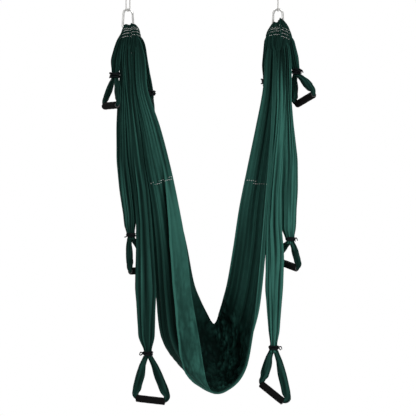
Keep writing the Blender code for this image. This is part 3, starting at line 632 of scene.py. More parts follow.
def foam_finish(look):
    """Closed-cell foam: nearly black, matt, with fine pores and a few rubbed places."""
    pores = look.noise(900.0, 2.0)
    rubbed = (look.noise(45.0, 4.0) * 1.2 - 0.3).clamped()
    look.set(Base_Color=look.mix(rubbed, look.colour("foam"), look.colour("foam", 1.9)))
    normal = look.bump(look.noise(120.0, 3.0), 0.0008, 0.35, look.bump(pores, 0.0003, 0.5))
    look.set(Normal=normal, Roughness=(0.72 + 0.2 * pores).clamped(), Specular_IOR_Level=0.03)
    look.material.diffuse_color = (*look.colour("foam"), 1)


def core_finish(look):
    """The grip's inner tube: smooth dark grey plastic."""
    look.set(Base_Color=look.mix(look.noise(80.0, 2.0), (0.035, 0.035, 0.037), (0.06, 0.06, 0.062)))
    look.set(Roughness=0.35 + 0.15 * look.noise(300.0, 2.0))


def elastic_finish(look):
    """Black braided elastic cord."""
    braid = look.node("ShaderNodeTexWave", {"wave_type": "BANDS", "bands_direction": "DIAGONAL"},
                      {"Vector": look.flat_place(), "Scale": 220.0, "Distortion": 0.4}, output=1)
    look.set(Base_Color=look.mix(braid, look.colour("elastic", 0.5), look.colour("elastic", 2.2)))
    look.set(Normal=look.bump(braid, 0.0004, 0.7), Roughness=0.6 + 0.2 * braid, Specular_IOR_Level=0.03)


def steel_finish(look):
    """Bright plated steel, its colour darker and lighter in soft blotches, with fine scratches."""
    blotches = look.noise(120.0, 3.0)
    scratch = look.noise(700.0, 2.0, stretch=(1.0, 1.0, 0.12))
    look.set(Base_Color=look.mix(blotches, look.colour("steel", 0.4), look.colour("steel", 1.25)), Metallic=1.0)
    look.set(Roughness=0.16 + 0.16 * blotches + 0.06 * scratch, Normal=look.bump(scratch, 0.00006, 0.25))


def cord_finish(look):
    """White laid cord, with painted shade between its strands, where it is greyer."""
    fine = look.noise(500.0, 3.0)
    share = look.fold() * (0.85 + 0.3 * fine)
    look.set(Base_Color=look.mix(share, look.colour("cord", 0.45), look.colour("cord")))
    look.set(Roughness=0.75 + 0.1 * fine, Normal=look.bump(fine, 0.0003, 0.6))


def thread_finish(look):
    """Off-white twisted sewing thread."""
    twist = look.noise(1500.0, 2.0)
    look.set(Base_Color=look.mix(twist, look.colour("thread", 0.7), look.colour("thread")))
    look.set(Roughness=0.6 + 0.2 * twist)


# Settings
def colour_setting(name, description, *default):
    """A colour without transparency."""
    return bpy.props.FloatVectorProperty(name=name, description=description, subtype="COLOR", size=4,
                                         min=0, max=1, default=(*default, 1))


def size_setting(name, description, default, low, high):
    """A length in metres."""
    return bpy.props.FloatProperty(name=name, description=description, subtype="DISTANCE", unit="LENGTH",
                                   default=default, min=low, max=high)


class HammockColours(bpy.types.PropertyGroup):
    """The finishes' colours."""

    nylon: colour_setting("Nylon", "Dark green nylon of the sling and the straps", 0.014, 0.062, 0.049)
    foam: colour_setting("Foam", "Foam of the grips", 0.005, 0.005, 0.005)
    elastic: colour_setting("Elastic", "Elastic cord of the ties", 0.006, 0.007, 0.008)
    steel: colour_setting("Steel", "Plated steel of the hooks and ceiling fittings", 0.46, 0.46, 0.45)
    cord: colour_setting("Cord", "White cord between the ceiling and the hooks", 0.80, 0.79, 0.76)
    thread: colour_setting("Thread", "Sewing thread of the stitch rows", 0.82, 0.83, 0.80)


class HammockSizes(bpy.types.PropertyGroup):
    """The sizes that the dressing adds to the frame's own."""

    flute_height: size_setting("Flute height", "Height of the sling's finest folds", 0.0055, 0.0, 0.01)
    drape_height: size_setting("Drape height", "Height of the sling's broad folds", 0.0085, 0.0, 0.02)
    wall: size_setting("Cloth", "Thickness of the sling's cloth", 0.0010, 0.0003, 0.003)
    hem_radius: size_setting("Hem", "Radius of the rolled hem", 0.0016, 0.0005, 0.004)
    stitch_length: size_setting("Stitch", "Length of one stitch", 0.0042, 0.001, 0.01)
    elastic_radius: size_setting("Elastic", "Radius of the ties' elastic cord", 0.0019, 0.0005, 0.004)


# The sling
def sling_steps():
    """Where the grid's rows lie along the tables: even shares set closer in the seat by a sine."""
    even = np.linspace(0, 1, SLING_ROWS)
    return even + 0.5 * np.sin(TURN * even) / TURN


def cloth_base(along):
    """The sling's smooth middle surface. A section is half an ellipse from the belly to each hem: the way
    out from the belly goes by 1 less the cosine of a quarter turn, and the depth by its sine."""
    scale = np.array([HANG_HALF_SPAN, -SLING_DROP, CLOTH_HALF_DEPTH])
    tables = (NEAR_HEM_SHARES, BELLY_SHARES, FAR_HEM_SHARES)
    near, belly, far = (smooth_line(table, along) * scale for table in tables)
    across = np.linspace(-1, 1, SLING_COLUMNS)
    angle = np.abs(across)[None, :, None] * math.pi / 2
    hem = np.where((across < 0)[None, :, None], near[:, None, :], far[:, None, :])
    blend = np.concatenate([1 - np.cos(angle), 1 - np.cos(angle), np.sin(angle)], axis=2)
    grid = (belly[:, None, :] + (hem - belly[:, None, :]) * blend)[:, :, [0, 2, 1]]
    grid[:, :, 2] += CLOTH_TOP_Z
    return grid


def sling_grid(sizes):
    """The sling's surface, its fold layer of painted shade and highlight, and its greatest width. The smooth
    surface is lowered along its normals by fine and broad flutes, stepped at the front panel, and pressed
    in by wrinkles inside the seat."""
    along = sling_steps()
    grid = cloth_base(along)
    normal = unit(np.cross(np.gradient(grid, axis=0), np.gradient(grid, axis=1)))
    across = np.linspace(0, 1, SLING_COLUMNS)[None, :]
    along = along[:, None]
    width = np.linalg.norm(np.diff(grid, axis=1), axis=2).sum(axis=1)[:, None]
    seat = 1 - np.abs(2 * along - 1)
    fine = flutes(across, along * 1.5, ((13, 1.0), (21, 0.7), (34, 0.4)), 3)
    broad = flutes(across, along, ((5, 1.0), (8, 0.8)), 5)
    flute = sizes.flute_height * np.clip(width / 0.18, 0.3, 1.1) * (1 - 0.5 * seat**2)
    drape = sizes.drape_height * np.clip(width / 0.3, 0.1, 1.3) * (1 - 0.35 * seat**4)
    hem = np.clip(np.minimum(across, 1 - across) / 0.03, 0.25, 1)
    step, panel, shadow = front_panel(across, along)
    calm = 1 - 0.75 * panel
    lift = (flute * (1 - fine) + drape * (1 - broad)) * hem * calm + step
    loose = ease((across - 0.45) / 0.1) * ease((seat - 0.6) / 0.24)
    places = grid * np.array([1.0, 1.0, 0.42])
    small, middling, large = (crumple(places, size, seed) for size, seed in CRUMPLES)
    wrinkles = np.clip(0.45 * small + 0.6 * middling + 0.45 * large - 0.3, 0, 1)
    outer = 1 - 0.8 * ease((0.485 - along) / 0.05)
    lift = lift - (CRUMPLE_DEPTH * loose * outer + 0.0012 * panel) * wrinkles * hem
    grid = grid + normal * lift[:, :, None]
    # Painted shade and highlight: lighter on the flutes' crests and on the panel, less the panel's painted
    # shadow
    fold = 0.12 + 0.45 * fine * calm + 0.48 * broad * calm + 0.36 * panel - shadow
    fold = fold + panel * (0.22 - 0.4 * wrinkles * ease((seat - 0.45) / 0.3))
    # Painted shade inside the bowl towards the V notch, and in the creases of the wrinkles inside the seat
    wedge_shade = 1 - 0.6 * ease((0.535 - along) / 0.05)
    inside = np.clip(1 - wrinkles, 0.08, 1) * (0.45 + 0.4 * fine + 0.45 * broad) * wedge_shade
    fold = fold * (1 - loose) + loose * inside
    return grid, np.clip(gathered_shade(fold, painted_head_light(grid[:, :, 2])), 0, 1), width.max()


class HAMMOCK_OT_sling(bpy.types.Operator):
    """Makes the sling's fluted cloth with its rolled hems"""

    bl_idname = "hammock.sling"
    bl_label = "Sling"

    def execute(self, context):
        sizes = context.scene.hammock_sizes
        grid, fold, width = sling_grid(sizes)
        run = np.concatenate([[0], np.cumsum(np.linalg.norm(np.diff(grid, axis=0), axis=2).mean(axis=1))])
        flat_map = flat_corners(np.linspace(0, 1, SLING_COLUMNS)[None, :] * width, run[:, None])
        looks = finish_named("nylon_cloth", nylon_finish)
        faces = lattice(SLING_ROWS, SLING_COLUMNS).tolist()
        cloth = put_piece("sling_cloth", grid, faces, looks, flat_map, fold)
        wall = cloth.modifiers.new("wall", "SOLIDIFY")
        wall.thickness = sizes.wall
        wall.offset = 0
        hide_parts("hammock_cloth")
        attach(cloth, "sling")
        # Painted highlight: the hems are painted lighter than the cloth beside them, and the tube along the
        # panel's ridge at full lightness
        lines = {"near_hem": (grid[::2, 0], fold[::2, 0] + 0.15),
                 "far_hem": (grid[::2, -1], fold[::2, -1] + 0.1),
                 "panel_fold": (panel_crease(grid), np.array([1.0]))}
        sewn = []
        for name, (line, light) in lines.items():
            hem = sheath(name, tube(line, sizes.hem_radius, 8), looks, fold=np.clip(light, 0, 1)[:, None])
            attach(hem, "sling")
            sewn.append(hem)
        for side in SIDES:
            head, rings, folds = main_head(side, looks)
            sewn += [head, head_stitches(side, rings, folds, sizes.stitch_length)]
        for side in SIDES:
            sewn.append(limb_stitches(side, grid, sizes.stitch_length))
        sideways = np.diff(grid, axis=1)[:-1]
        area = np.linalg.norm(np.cross(np.diff(grid, axis=0)[:, :-1], sideways), axis=2).sum()
        float(area / run[-1])
        return {"FINISHED"}


def painted_head_light(height):
    """How light the gathered cloth is painted at a height: painted shade in the heads, and none from 0.3 m
    below them.
    """
    return HEAD_SHADE + (1 - HEAD_SHADE) * ease((CLOTH_TOP_Z - 0.03 - height) / 0.3)


def gathered_shade(fold, light):
    """Painted shade: folds made darker by the light they keep, with the more contrast the less they keep."""
    return (0.5 + (fold - 0.5) * (1 + 1.8 * (1 - light))) * light


def panel_ridge(place):
    """How far across the cloth the panel's ridge runs, from -1 at the near hem, at a place in the tables."""
    return -np.interp(place, (2.5, 4.2, 5.9, 7.2, 8.2, 9.3, 10.2), (0.88, 0.82, 0.7, 0.69, 0.636, 0.47, 0.3))


def panel_crease(grid):
    """The line of points on the cloth that its ridge runs through, where the panel has one."""
    place = sling_steps() * (len(BELLY_SHARES) - 1)
    rows = np.flatnonzero((place > 4.6) & (place < 9.3))
    column = (panel_ridge(place[rows]) + 1) / 2 * (SLING_COLUMNS - 1) - 1
    return read_grid(grid, rows, column)[::2]


def front_panel(across, along):
    """The smooth panel beside the left limb's near hem. A ridge, a bell curve of the way across, runs down
    the cloth at its edge. Beyond it the cloth steps inwards by a smooth step and comes back as a falling
    power of e. Gives the lift, how much of a place is panel, and its painted shadow, less a painted
    highlight along the ridge."""
    way = 2 * across - 1
    place = along * (len(BELLY_SHARES) - 1)
    ridge = panel_ridge(place)
    there = ease((place - 3.7) / 1.5) * (1 - ease((place - 9.2) / 1.0))
    beyond = way - ridge
    step = ease(beyond / 0.035) * np.exp(-np.maximum(beyond, 0) / 0.35)
    crest = np.exp(-(((beyond + 0.008) / 0.018) ** 2))
    lift = there * (PANEL_STEP * step - 0.006 * crest)
    panel = there * (1 - ease((beyond + 0.02) / 0.03))
    # Painted shadow just beyond the ridge and on the lobe past it, less a painted highlight along the
    # ridge's crest
    lit = np.exp(-(((beyond + 0.014) / 0.02) ** 2))
    lobe = ease((place - 5.0) / 2.5) * ease(beyond / 0.05) * (1 - ease((beyond - 0.5) / 0.3))
    shadow = there * (0.9 * np.exp(-(((beyond - 0.05) / 0.07) ** 2)) - 0.9 * lit + 0.4 * lobe)
    return lift, panel, shadow


def main_head(side, looks):
    """The gathered end of the sling round the hook's foot, with its rings and their folds. The rings are
    ovals of the way round, squeezed by flutes: they come up from inside the straps, widen, close in to a
    ragged lip, and turn down into a hollow. The knots are joined by straight lines, softened by the mean of
    five rows."""
    low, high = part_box(side + "_hook_frame")
    bar = np.array([(low.x + high.x) / 2, 0, low.z + high.y])
    knots = np.array(HEAD_KNOTS[side])
    rows, columns = 90, 224
    knot = np.linspace(0, len(knots) - 1, rows)
    tables = []
    for values in knots.T:
        values = np.pad(np.interp(knot, np.arange(len(knots)), values), 2, mode="edge")
        tables.append(np.convolve(values, np.ones(5) / 5, mode="valid")[:, None])
    height, middle, wide, deep = tables
    share = shares_round(columns)
    angle = TURN * share
    run = np.linspace(0, 1, rows)[:, None]
    fold = flutes(share, run * 0.9, ((17, 1.0), (29, 0.8), (47, 0.4)), 7 if side == "left" else 4)
    ragged = flutes(share, run * 0, ((9, 1.0), (15, 0.9)), 3 if side == "left" else 8) - 0.5
    lip = ease((knot[:, None] - 3.5) / 2)
    c, s = squared(angle, 0.9)
    drawn = 1 - (0.3 + 0.2 * lip) * (1 - fold) ** 1.2 * facing(angle)
    x = middle + wide * c * drawn
    peak, dip, rise = HEAD_LOBES[side]
    lobes = rise * np.exp(-(((x - peak) / 0.009) ** 2)) - 0.006 * np.exp(-(((x - dip) / 0.005) ** 2))
    z = height + lip * (0.006 * ragged + lobes - 0.003 * np.cos(angle) ** 2)
    rings = bar + np.stack([x, deep * s * drawn, z], axis=-1)
    # Painted shade: the head keeps HEAD_SHADE of its folds' lightness, and the hollow at its top is painted
    # dark
    hollow = ease((knot[:, None] - 6.5) / 1.5)
    head = sheath(side + "_sling_head", rings, looks, fold=np.clip(HEAD_SHADE * fold - 0.8 * hollow, 0, 1))
    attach(head, "sling")
    return head, rings, fold


def facing(angle):
    """How deep the flutes draw an oval in: a power of the sine, most at its front and back."""
    return 0.35 + 0.65 * np.abs(np.sin(angle)) ** 0.7


# The stitches
def capsules(name, middles, ways, length, radius):
    """Short round stitches, one along each way, as points round a line whose radius closes at both ends."""
    ways = unit(np.concatenate(ways))
    first = unit(np.cross(ways, (0.2, 0.9, 0.35)))
    second = np.cross(ways, first)
    along = np.array([-0.5, -0.38, 0.0, 0.38, 0.5]) * length
    swell = np.array([0.35, 0.9, 1.0, 0.9, 0.35]) * radius
    sides = 6
    angle = TURN * shares_round(sides)[:, :, None]
    circle = first[:, None, :] * np.cos(angle) + second[:, None, :] * np.sin(angle)
    rings = np.concatenate(middles)[:, None, None, :] + ways[:, None, None, :] * along[None, :, None, None]
    rings = rings + circle[:, None, :, :] * swell[None, :, None, None]
    count = len(along) * sides
    start = np.arange(len(ways))[:, None] * count
    skin = (lattice(len(along), sides, wrap=True)[None, :, :] + start[:, :, None]).reshape(-1, 4)
    foot = np.arange(sides)[::-1] + start
    tip = np.arange(count - sides, count) + start
    piece = put_piece(name, rings, skin.tolist() + foot.tolist() + tip.tolist(),
                      finish_named("sewing_thread", thread_finish))
    face_outwards(piece)
    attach(piece, "sling")
    return piece


def head_stitches(side, rings, fold, length):
    """Rows of stitches round the gathered head. Each follows the head's grid at a height that falls to its
    sides, and is left out in the deep grooves."""
    out = unit(rings - rings.mean(axis=1, keepdims=True))
    places = []
    ways = []
    for row in range(HEAD_ROWS):
        share = np.arange(0, 1, 0.021) + 0.007 * row
        share = share[share < 0.995]
        column = share * rings.shape[1]
        sideways = np.cos(TURN * share)
        lobe = np.where(sideways > 0.1, HEAD_STITCH_SLANT[side] * (1 + 1.5 * sideways), 0)
        level = HEAD_FIRST_ROW + HEAD_ROW_GAP * row + lobe - 4.5 * np.abs(sideways) ** 3
        low = read_grid(rings, level, column - 2.6)
        high = read_grid(rings, level, column + 2.6)
        luck = chance(np.arange(len(share)), row + 1)
        seen = read_grid(fold[..., None], level, column)[:, 0] > 0.08 + 0.15 * luck
        places.append(((low + high) / 2 + read_grid(out, level, column) * HEAD_STITCH_LIFT)[seen])
        ways.append((high - low)[seen])
    return capsules(side + "_head_stitches", places, ways, length, HEAD_THREAD)


def limb_stitches(side, grid, length):
    """Two rows of stitches across a limb. Each stitch lies on the point of the sling that stands nearest to
    the viewer there."""
    grid = grid.reshape(-1, 3)
    start, end = np.array(LIMB_STITCHES[side])
    middles = []
    ways = []
    for row in range(2):
        share = np.linspace(0, 1, int(math.dist(start, end) / (length * 1.45)))
        line = start + (end - start) * share[:, None]
        line[:, 1] -= LIMB_ROW_GAP * row - 0.0012 * np.sin(9 * share + row)
        away = np.hypot(grid[None, :, 0] - line[:, :1], grid[None, :, 2] - line[:, 1:])
        depth = np.where(away < 0.0035, grid[None, :, 1], 1.0).min(axis=1)
        middle = np.stack([line[:, 0], depth - LIMB_STITCH_LIFT, line[:, 1]], axis=1)[depth < 0.9]
        middles.append(middle)
        ways.append(np.gradient(middle, axis=0))
    return capsules(side + "_limb_stitches", middles, ways, length, LIMB_THREAD)


# The straps
class HAMMOCK_OT_straps(bpy.types.Operator):
    """Makes the pleated straps with their arms round the grips"""

    bl_idname = "hammock.straps"
    bl_label = "Straps"

    def execute(self, context):
        looks = finish_named("nylon_straps", nylon_finish)
        for number, name in enumerate(HANDLES):
            places = HandlePlaces(name)
            made[name] = places
            strap = pleated_strap(places, looks, number)
            arms = strap_arms(places, looks, number)
            for piece in (strap, arms):
                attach(piece, name + "_handle")
            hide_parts(name + "_strap")
        return {"FINISHED"}


def pleated_strap(places, looks, number):
    """The strap from its head to just below the tie, as level ovals round the CAD strap's own sections.
    They stand proud of them, have squared corners, and are drawn in by flutes."""
    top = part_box(places.name + "_strap")[1].z
    dome = top - STRAP_DOME
    foot = places.tie[2] - STRAP_FOOT
    rounded = np.linspace(top - 0.0004, dome, 8)[:-1]
    heights = np.concatenate([rounded, np.arange(dome, foot, -STRAP_STEP), [foot]])
    spans = level_cuts(places.name + "_strap", heights + 0.00001)
    if places.kind != "long":
        spans = fuller_neck(spans, heights - places.tie[2])
    spans = softened(spans, 4)
    apart = np.abs(heights - places.tie[2])
    pinch = (1 - ease((apart - 0.004) / 0.05))[:, None]
    groove = 0.34 + 0.12 * ease((dome - heights) / 0.15)[:, None] * (1 - pinch) + 0.04 * pinch
    wider = STRAP_WIDER + STRAP_WIDER_TOP * ease((heights + 0.42) / 0.1)
    deeper = STRAP_DEEPER * ease((apart - 0.02) / 0.06)
    proud = np.stack([wider * ease((apart - 0.01) / 0.05), deeper], axis=1)
    share = shares_round(96)
    along = (heights[0] - heights)[:, None]
    fold = flutes(share, along, ((7, 1.0), (12, 0.8), (21, 0.4)), 11 + number)
    drawn = 1 - groove * (1 - fold) ** 1.2 * facing(TURN * share)
    middle = (spans[:, [0, 2]] + spans[:, [1, 3]]) / 2
    half = (spans[:, [1, 3]] - spans[:, [0, 2]]) / 2 + proud
    path = np.column_stack([middle, heights])
    rings = ring_points(path, np.eye(3)[:2], half[:, :1] * drawn, half[:, 1:] * drawn, TURN * share, 0.85)
    # Painted shade: broad folds that only the colour has, the heads' shade, a darker band where the tie
    # pinches the strap, and each side's painted light
    fold = fold * (0.6 + 0.65 * flutes(share, 0.8 * along, ((5, 1.0),), 40 + number))
    shade = painted_head_light(heights)[:, None]
    fold = gathered_shade(fold, shade) * (1 - 0.35 * pinch) * STRAP_PAINTED_LIGHT[places.side] ** shade
    return sheath(places.name + "_strap_cloth", rings, looks, fold=np.clip(fold, 0, 1))


def softened(rows, reach):
    """Each row as the mean of the rows within its reach, which is shorter near both ends."""
    total = np.concatenate([np.zeros((1, rows.shape[1])), np.cumsum(rows, axis=0)])
    place = np.arange(len(rows))
    near = np.minimum(np.minimum(place, len(rows) - 1 - place), reach)
    return (total[place + near + 1] - total[place - near]) / (2 * near + 1)[:, None]


def fuller_neck(spans, above):
    """Cuts whose narrowing towards the tie starts later: down to 17 mm above it they keep the width that
    they have at 60 mm, and from there they ease into the neck."""
    wide = spans[np.argmin(np.abs(above - 0.060))]
    neck = spans[np.argmin(np.abs(above - 0.004))]
    fuller = neck + (wide - neck) * ease((above - 0.004) / 0.013)[:, None]
    changed = (above > 0.004) & (above < 0.060)
    spans = spans.copy()
    spans[changed, 0] = np.minimum(spans, fuller)[changed, 0]
    spans[changed, 1] = np.maximum(spans, fuller)[changed, 1]
    return spans


def arm_line(places, way):
    """One arm's middle line: a cubic curve from under the tie to the grip's end, then a quarter of an oval
    down to the grip's axis. It is set inwards where the arm is wide."""
    level = places.level_way * way
    outward = places.way * way
    corner = places.grip + outward * (places.half_length + ARM_OVERHANG)
    drop = places.rise * (places.radius + ARM_RISE)
    fork = places.tie - np.array([0, 0, ARM_START_DROP]) + level * ARM_START_OUT
    foot = corner + drop
    bow = level * np.linalg.norm(foot - fork) * ARM_BOW[places.kind]
    bend_a = fork + (foot - fork) * 0.35 + bow - np.array([0, 0, 0.002])
    bend_b = foot + (fork - foot) * 0.22 + bow * 0.8
    t = np.linspace(0, 1, ARM_STEPS)[:, None]
    s = 1 - t
    line = fork * s**3 + bend_a * 3 * s * s * t + bend_b * 3 * s * t * t + foot * t**3
    line = line - level * np.maximum(arm_half(places, t) - ARM_FOOT, 0) * 0.8
    angle = np.linspace(0, math.pi / 2, BEND_STEPS)[1:, None]
    reach = outward * (places.radius + ARM_RISE) * 0.55
    turn = foot - reach + reach * np.cos(angle) - drop * np.sin(angle)
    return np.concatenate([line, turn])


def arm_half(places, t):
    """An arm's half width at a share of its curve: from the neck out to its widest, and in to the foot."""
    wide = ARM_HALF[places.kind]
    return ARM_NECK + (wide - ARM_NECK) * ease(t / 0.5) - (wide - ARM_FOOT) * ease((t - 0.8) / 0.2)


def strap_arms(places, looks, number):
    """Both arms and the roll of cloth through the grip, as one loop of ovals that are grooved
    lengthwise."""
    left = arm_line(places, -1)
    right = arm_line(places, 1)[::-1]
    path = np.concatenate([left, np.linspace(left[-1], right[0], ROLL_STEPS + 2)[1:-1], right])
    t = np.linspace(0, 1, ARM_STEPS)
    shrink = np.linspace(0, 1, BEND_STEPS)[1:]
    half = arm_half(places, t)
    deep = ARM_DEPTH + 0.001 * np.sin(math.pi * t)
    half = np.concatenate([half, half[-1] + (ROLL_RADIUS - half[-1]) * ease(shrink * 1.15 - 0.1)])
    deep = np.concatenate([deep, deep[-1] + (ROLL_RADIUS - deep[-1]) * ease(shrink)])
    roll = np.full(ROLL_STEPS, ROLL_RADIUS)
    half, deep = (np.concatenate([arm, roll, arm[::-1]])[:, None] for arm in (half, deep))
    share = shares_round(48)
    run = np.linspace(0, 1, len(path))[:, None]
    fold = flutes(share, run * 1.2, ((4, 0.9), (7, 0.6), (11, 0.3)), 31 + number)
    drawn = 1 - 0.30 * (1 - fold) ** 1.3
    ways = carried(path, places.normal)
    rings = ring_points(path, ways, half * drawn, deep * drawn, TURN * share, 0.9)
    # Painted shade: the arms' fold layer scaled by each side's painted light
    return sheath(places.name + "_arms", rings, looks, fold=fold * ARM_PAINTED_LIGHT[places.side])


# The ties
class HAMMOCK_OT_ties(bpy.types.Operator):
    """Makes the elastic ties with their knots and ears"""

    bl_idname = "hammock.ties"
    bl_label = "Ties"

    def execute(self, context):
        radius = context.scene.hammock_sizes.elastic_radius
        looks = finish_named("elastic_cord", elastic_finish)
        for name in HANDLES:
            coil, loop, ears = tie_lines(made[name], radius)
            ring = sheath(name + "_elastic", tube(coil, radius, 8), looks)
            pieces = [ring, sheath(name + "_knot", tube(loop, radius, 10, closed=True), looks, closed=True)]
            for letter, ear in zip("ab", ears):
                thick = radius * (1 - 0.25 * np.linspace(0, 1, len(ear)) ** 6)
                pieces.append(sheath(name + "_ear_" + letter, tube(ear, thick, 10), looks))
            for piece in pieces:
                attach(piece, name + "_handle")
            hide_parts(name + "_tie")
        return {"FINISHED"}


def tie_lines(places, radius):
    """The middle lines of a tie: a coil whose level and reach sway by slow sines, a knot of three lobes, a
    closed curve whose radius has a threefold cosine, and two ears, which bow by a sine and droop by a
    square."""
    out = places.level_way * SIDES[places.side]
    sideways = np.array([-out[1], out[0], 0])
    up = np.array([0, 0, 1.0])
    bulk = TIE_BULK[places.kind] * radius
    start = math.atan2(out[1], out[0])
    angle = start + np.linspace(0, TURN * TIE_TURNS, 190)
    level = bulk * (2.9 * np.sin(angle * 0.292 - start) + 0.6 * np.sin(2.2 * angle))
    reach = places.neck_radius + radius * 0.7
    away = reach + bulk * (0.9 + 0.9 * np.sin(1.43 * angle + 0.7 * start))
    coil = places.tie + np.stack([away * np.cos(angle), away * np.sin(angle), level], axis=1)
    middle = places.tie + out * (reach + bulk * 0.8 + radius * 1.6)
    angle = TURN * shares_round(40)[0]
    loop = middle + np.outer(np.cos(angle) * (1 + 0.35 * np.cos(3 * angle)), sideways) * radius * 2.0
    loop = loop + np.outer(np.sin(angle) * (1 + 0.3 * np.cos(2 * angle)), up) * radius * 2.0
    loop = loop + np.outer(np.sin(2 * angle), out) * radius * 1.1
    t = np.linspace(0, 1, 22)
    swing = np.sin(t * math.pi)
    ears = []
    for way in (-1, 1):
        ear = middle + np.outer(t * EAR_REACH + 0.002 * swing, out)
        ear = ear + np.outer(way * t * EAR_SPREAD, sideways)
        ears.append(ear + np.outer(way * EAR_BOW * swing - t**2 * EAR_DROOP, up))
    return coil, loop, ears


# The grips
class HAMMOCK_OT_grips(bpy.types.Operator):
    """Makes the foam grips with rounded ends, and gives their cores a plastic finish"""

    bl_idname = "hammock.grips"
    bl_label = "Grips"

    def execute(self, context):
        looks = finish_named("foam_grip", foam_finish)
        core = finish_named("core_plastic", core_finish)
        for number, name in enumerate(HANDLES):
            grip = sheath(name + "_foam", grip_rings(made[name], number), looks, closed=True)
            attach(grip, name + "_roller")
            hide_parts(name + "_grip")
            finish_node(name + "_grip_core", core)
        return {"FINISHED"}


def grip_rings(places, number):
    """The tube of foam: a profile of radii and ways along, turned round the grip's axis. Each end is a
    quarter circle, and the skin is dented by two slow sines."""
    half = places.half_length
    outer = places.radius
    inner = outer * GRIP_BORE
    quarter = np.linspace(0, math.pi / 2, 8)
    rim = np.stack([outer - GRIP_EDGE * (1 - np.sin(quarter)),
                    half - GRIP_EDGE * (1 - np.cos(quarter))], axis=1)
    end = np.vstack([[inner, half * 0.999], rim])
    side = np.linspace(half - GRIP_EDGE, GRIP_EDGE - half, 40)[1:-1]
    side = np.stack([np.full(len(side), outer), side], axis=1)
    line = np.concatenate([end, side, end[::-1] * (1, -1)])
    angle = TURN * shares_round(48)
    dent = 0.00035 * np.sin(3 * angle + line[:, 1:] * 90 + number) * np.cos(line[:, 1:] * 140 + 2 * number)
    radius = line[:, :1] + dent * (line[:, :1] > inner * 1.05)
    path = places.grip + np.outer(line[:, 1], places.way)
    return ring_points(path, (places.rise, places.normal), radius, radius, angle)


def finish_node(node, looks):
    """Gives a CAD node that shows as it is a finish."""
    data = frame["nodes"][node].data
    data.materials.clear()
    data.materials.append(looks)


# Hooks, ceiling fittings and cords
class HAMMOCK_OT_fittings(bpy.types.Operator):
    """Gives the hooks, gates, pins, eyes and ceiling plates their steel"""

    bl_idname = "hammock.fittings"
    bl_label = "Fittings"

    def execute(self, context):
        looks = finish_named("bright_steel", steel_finish)
        for side in SIDES:
            for node in ("ceiling_plate", "ceiling_eye", "hook_frame", "hook_gate", "hook_pin"):
                finish_node(side + "_" + node, looks)
        return {"FINISHED"}


class HAMMOCK_OT_cords(bpy.types.Operator):
    """Makes the laid cord loops between the ceiling eyes and the hooks"""

    bl_idname = "hammock.cords"
    bl_label = "Cords"

    def execute(self, context):
        looks = finish_named("laid_cord", cord_finish)
        for side in SIDES:
            rings, strand = cord_rings(side + "_cord_loop")
            # The strands' layer also paints shade between them
            cord = sheath(side + "_laid_cord", rings, looks, closed=True, fold=strand)
            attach(cord, frame["nodes"][side + "_cord_loop"]["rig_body"])
            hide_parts(side + "_cord_loop")
        return {"FINISHED"}


def cord_rings(node):
    """A cord loop's rings and how proud its strands stand. The middle line is two half circles joined by
    straight sides, at even steps, and three strands wind round it: the radius follows a cosine's size."""
    low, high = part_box(node)
    middle = (np.array(low) + np.array(high)) / 2
    points = corners(node) - middle
    along = np.append(long_way(points[:, :2]), 0)
    half = (high.z - low.z) / 2 - CORD_RADIUS
    wide = np.abs(points @ along).max() - CORD_RADIUS
    angle = np.linspace(0, math.pi, 24)
    top = np.stack([wide * np.cos(angle), half - wide + wide * np.sin(angle)], axis=1)
    line = np.concatenate([top, -top, top[:1]])
    run = way_along(line)
    even = np.linspace(0, run[-1], 160, endpoint=False)
    path = middle + np.outer(np.interp(even, run, line[:, 0]), along)
    path = path + np.outer(np.interp(even, run, line[:, 1]), (0, 0, 1))
    angle = TURN * shares_round(18)
    strand = np.abs(np.cos(1.5 * (angle - TURN * CORD_LAYS * shares_round(len(path)).T)))
    reach = CORD_RADIUS * (0.86 + 0.14 * strand**0.6)
    return ring_points(path, carried(path, closed=True), reach, reach, angle), strand


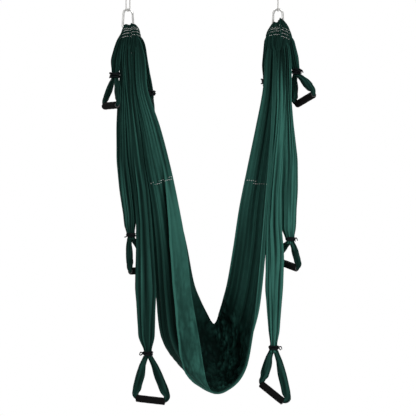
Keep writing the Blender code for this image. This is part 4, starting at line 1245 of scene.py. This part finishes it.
# The stage
class HAMMOCK_OT_stage(bpy.types.Operator):
    """Makes the camera, the floor, the soft lamps and the white surroundings"""

    bl_idname = "hammock.stage"
    bl_label = "Stage"

    def execute(self, context):
        scene = context.scene
        scene.view_settings.view_transform = "Standard"
        data = bpy.data.cameras.new("camera")
        camera = bpy.data.objects.new("camera", data)
        scene.collection.objects.link(camera)
        scene.camera = camera
        data.sensor_width = 36.0
        data.lens = -CAMERA_PLACE[1] * data.sensor_width / (PHOTO_SIDE * METRES_PER_PIXEL)
        data.clip_end = 100.0
        camera.location = CAMERA_PLACE
        camera.rotation_euler = (math.pi / 2, 0, 0)
        self.surroundings(scene)
        self.floor()
        for name, (place, size, power) in LAMPS.items():
            data = bpy.data.lights.new(name, "AREA")
            data.size = size
            data.energy = power
            lamp = bpy.data.objects.new(name, data)
            scene.collection.objects.link(lamp)
            lamp.location = place
            lamp.rotation_euler = (Vector(LAMP_AIM) - lamp.location).to_track_quat("-Z", "Y").to_euler()
        return {"FINISHED"}

    def surroundings(self, scene):
        """A world that is white where it is seen, straight, in a mirror or through a clear piece, and grey
        as a light."""
        scene.world = bpy.data.worlds.new("studio")
        scene.world.use_nodes = True
        nodes = Nodes(scene.world.node_tree)
        rays = ("Is Camera Ray", "Is Glossy Ray", "Is Transmission Ray")
        straight, mirrored, through = (nodes.node("ShaderNodeLightPath", output=ray) for ray in rays)
        seen = nodes.sum("MAXIMUM", nodes.sum("MAXIMUM", straight, mirrored), through)
        level = nodes.node("ShaderNodeMapRange", None, {"Value": seen, "To Min": 0.2, "To Max": 1.0})
        background = nodes.tree.nodes["Background"]
        nodes.fill(background.inputs["Color"], (1, 1, 1))
        nodes.fill(background.inputs["Strength"], level)

    def floor(self):
        """A round floor well below the hammock, which fades into the white surroundings at its edge."""
        rows, columns = 24, 96
        reach = np.linspace(0.001, 1, rows)[:, None] * FLOOR_RADIUS
        path = np.full((rows, 3), (0, 0, FLOOR_Z))
        points = ring_points(path, np.eye(3)[:2], reach, reach, TURN * shares_round(columns))
        look = Look("studio_floor")
        faces = lattice(rows, columns, wrap=True)[:, ::-1].tolist()
        floor = put_piece("studio_floor", points, faces, look.material)
        place = look.node("ShaderNodeTexCoord", output="Object")
        away = look.node("ShaderNodeVectorMath", {"operation": "LENGTH"}, {0: place}, output="Value")
        ray = look.node("ShaderNodeLightPath", output="Is Camera Ray")
        fade = look.ramp(away * (1 / 3.5), (0.50, 0.0), (0.80, 1.0)) * ray
        glow = look.node("ShaderNodeEmission", None, {"Color": (1, 1, 1), "Strength": 1.0})
        look.set(Base_Color=(0.92, 0.92, 0.92), Roughness=0.9)
        look.set(Emission_Color=(1, 1, 1), Emission_Strength=0.25)
        own = Number(look, look.shader.outputs[0])
        mixed = look.node("ShaderNodeMixShader", None, {0: fade, 1: own, 2: glow})
        look.fill(look.tree.nodes["Material Output"].inputs["Surface"], mixed)


class HAMMOCK_PT_panel(bpy.types.Panel):
    """Lists the hammock's operators and settings."""

    bl_label = "Aerial Hammock"
    bl_idname = "HAMMOCK_PT_panel"
    bl_space_type = "VIEW_3D"
    bl_region_type = "UI"
    bl_category = "Hammock"

    def draw(self, context):
        for row in PIECES:
            self.layout.operator(row.bl_idname)
        for group in (context.scene.hammock_sizes, context.scene.hammock_colours):
            for key in group.__annotations__:
                self.layout.prop(group, key)


PIECES = (HAMMOCK_OT_stage, HAMMOCK_OT_cords, HAMMOCK_OT_fittings, HAMMOCK_OT_sling, HAMMOCK_OT_straps,
          HAMMOCK_OT_ties, HAMMOCK_OT_grips)
CLASSES = (HammockColours, HammockSizes, *PIECES, HAMMOCK_PT_panel)


def register():
    for row in CLASSES:
        bpy.utils.register_class(row)
    bpy.types.Scene.hammock_colours = bpy.props.PointerProperty(type=HammockColours)
    bpy.types.Scene.hammock_sizes = bpy.props.PointerProperty(type=HammockSizes)


def unregister():
    del bpy.types.Scene.hammock_sizes
    del bpy.types.Scene.hammock_colours
    for row in reversed(CLASSES):
        bpy.utils.unregister_class(row)


def main():
    register()
    bpy.ops.hammock.stage()
    bpy.ops.hammock.cords()
    bpy.ops.hammock.fittings()
    bpy.ops.hammock.sling()
    bpy.ops.hammock.straps()
    bpy.ops.hammock.ties()
    bpy.ops.hammock.grips()


if __name__ == "__main__":
    main()
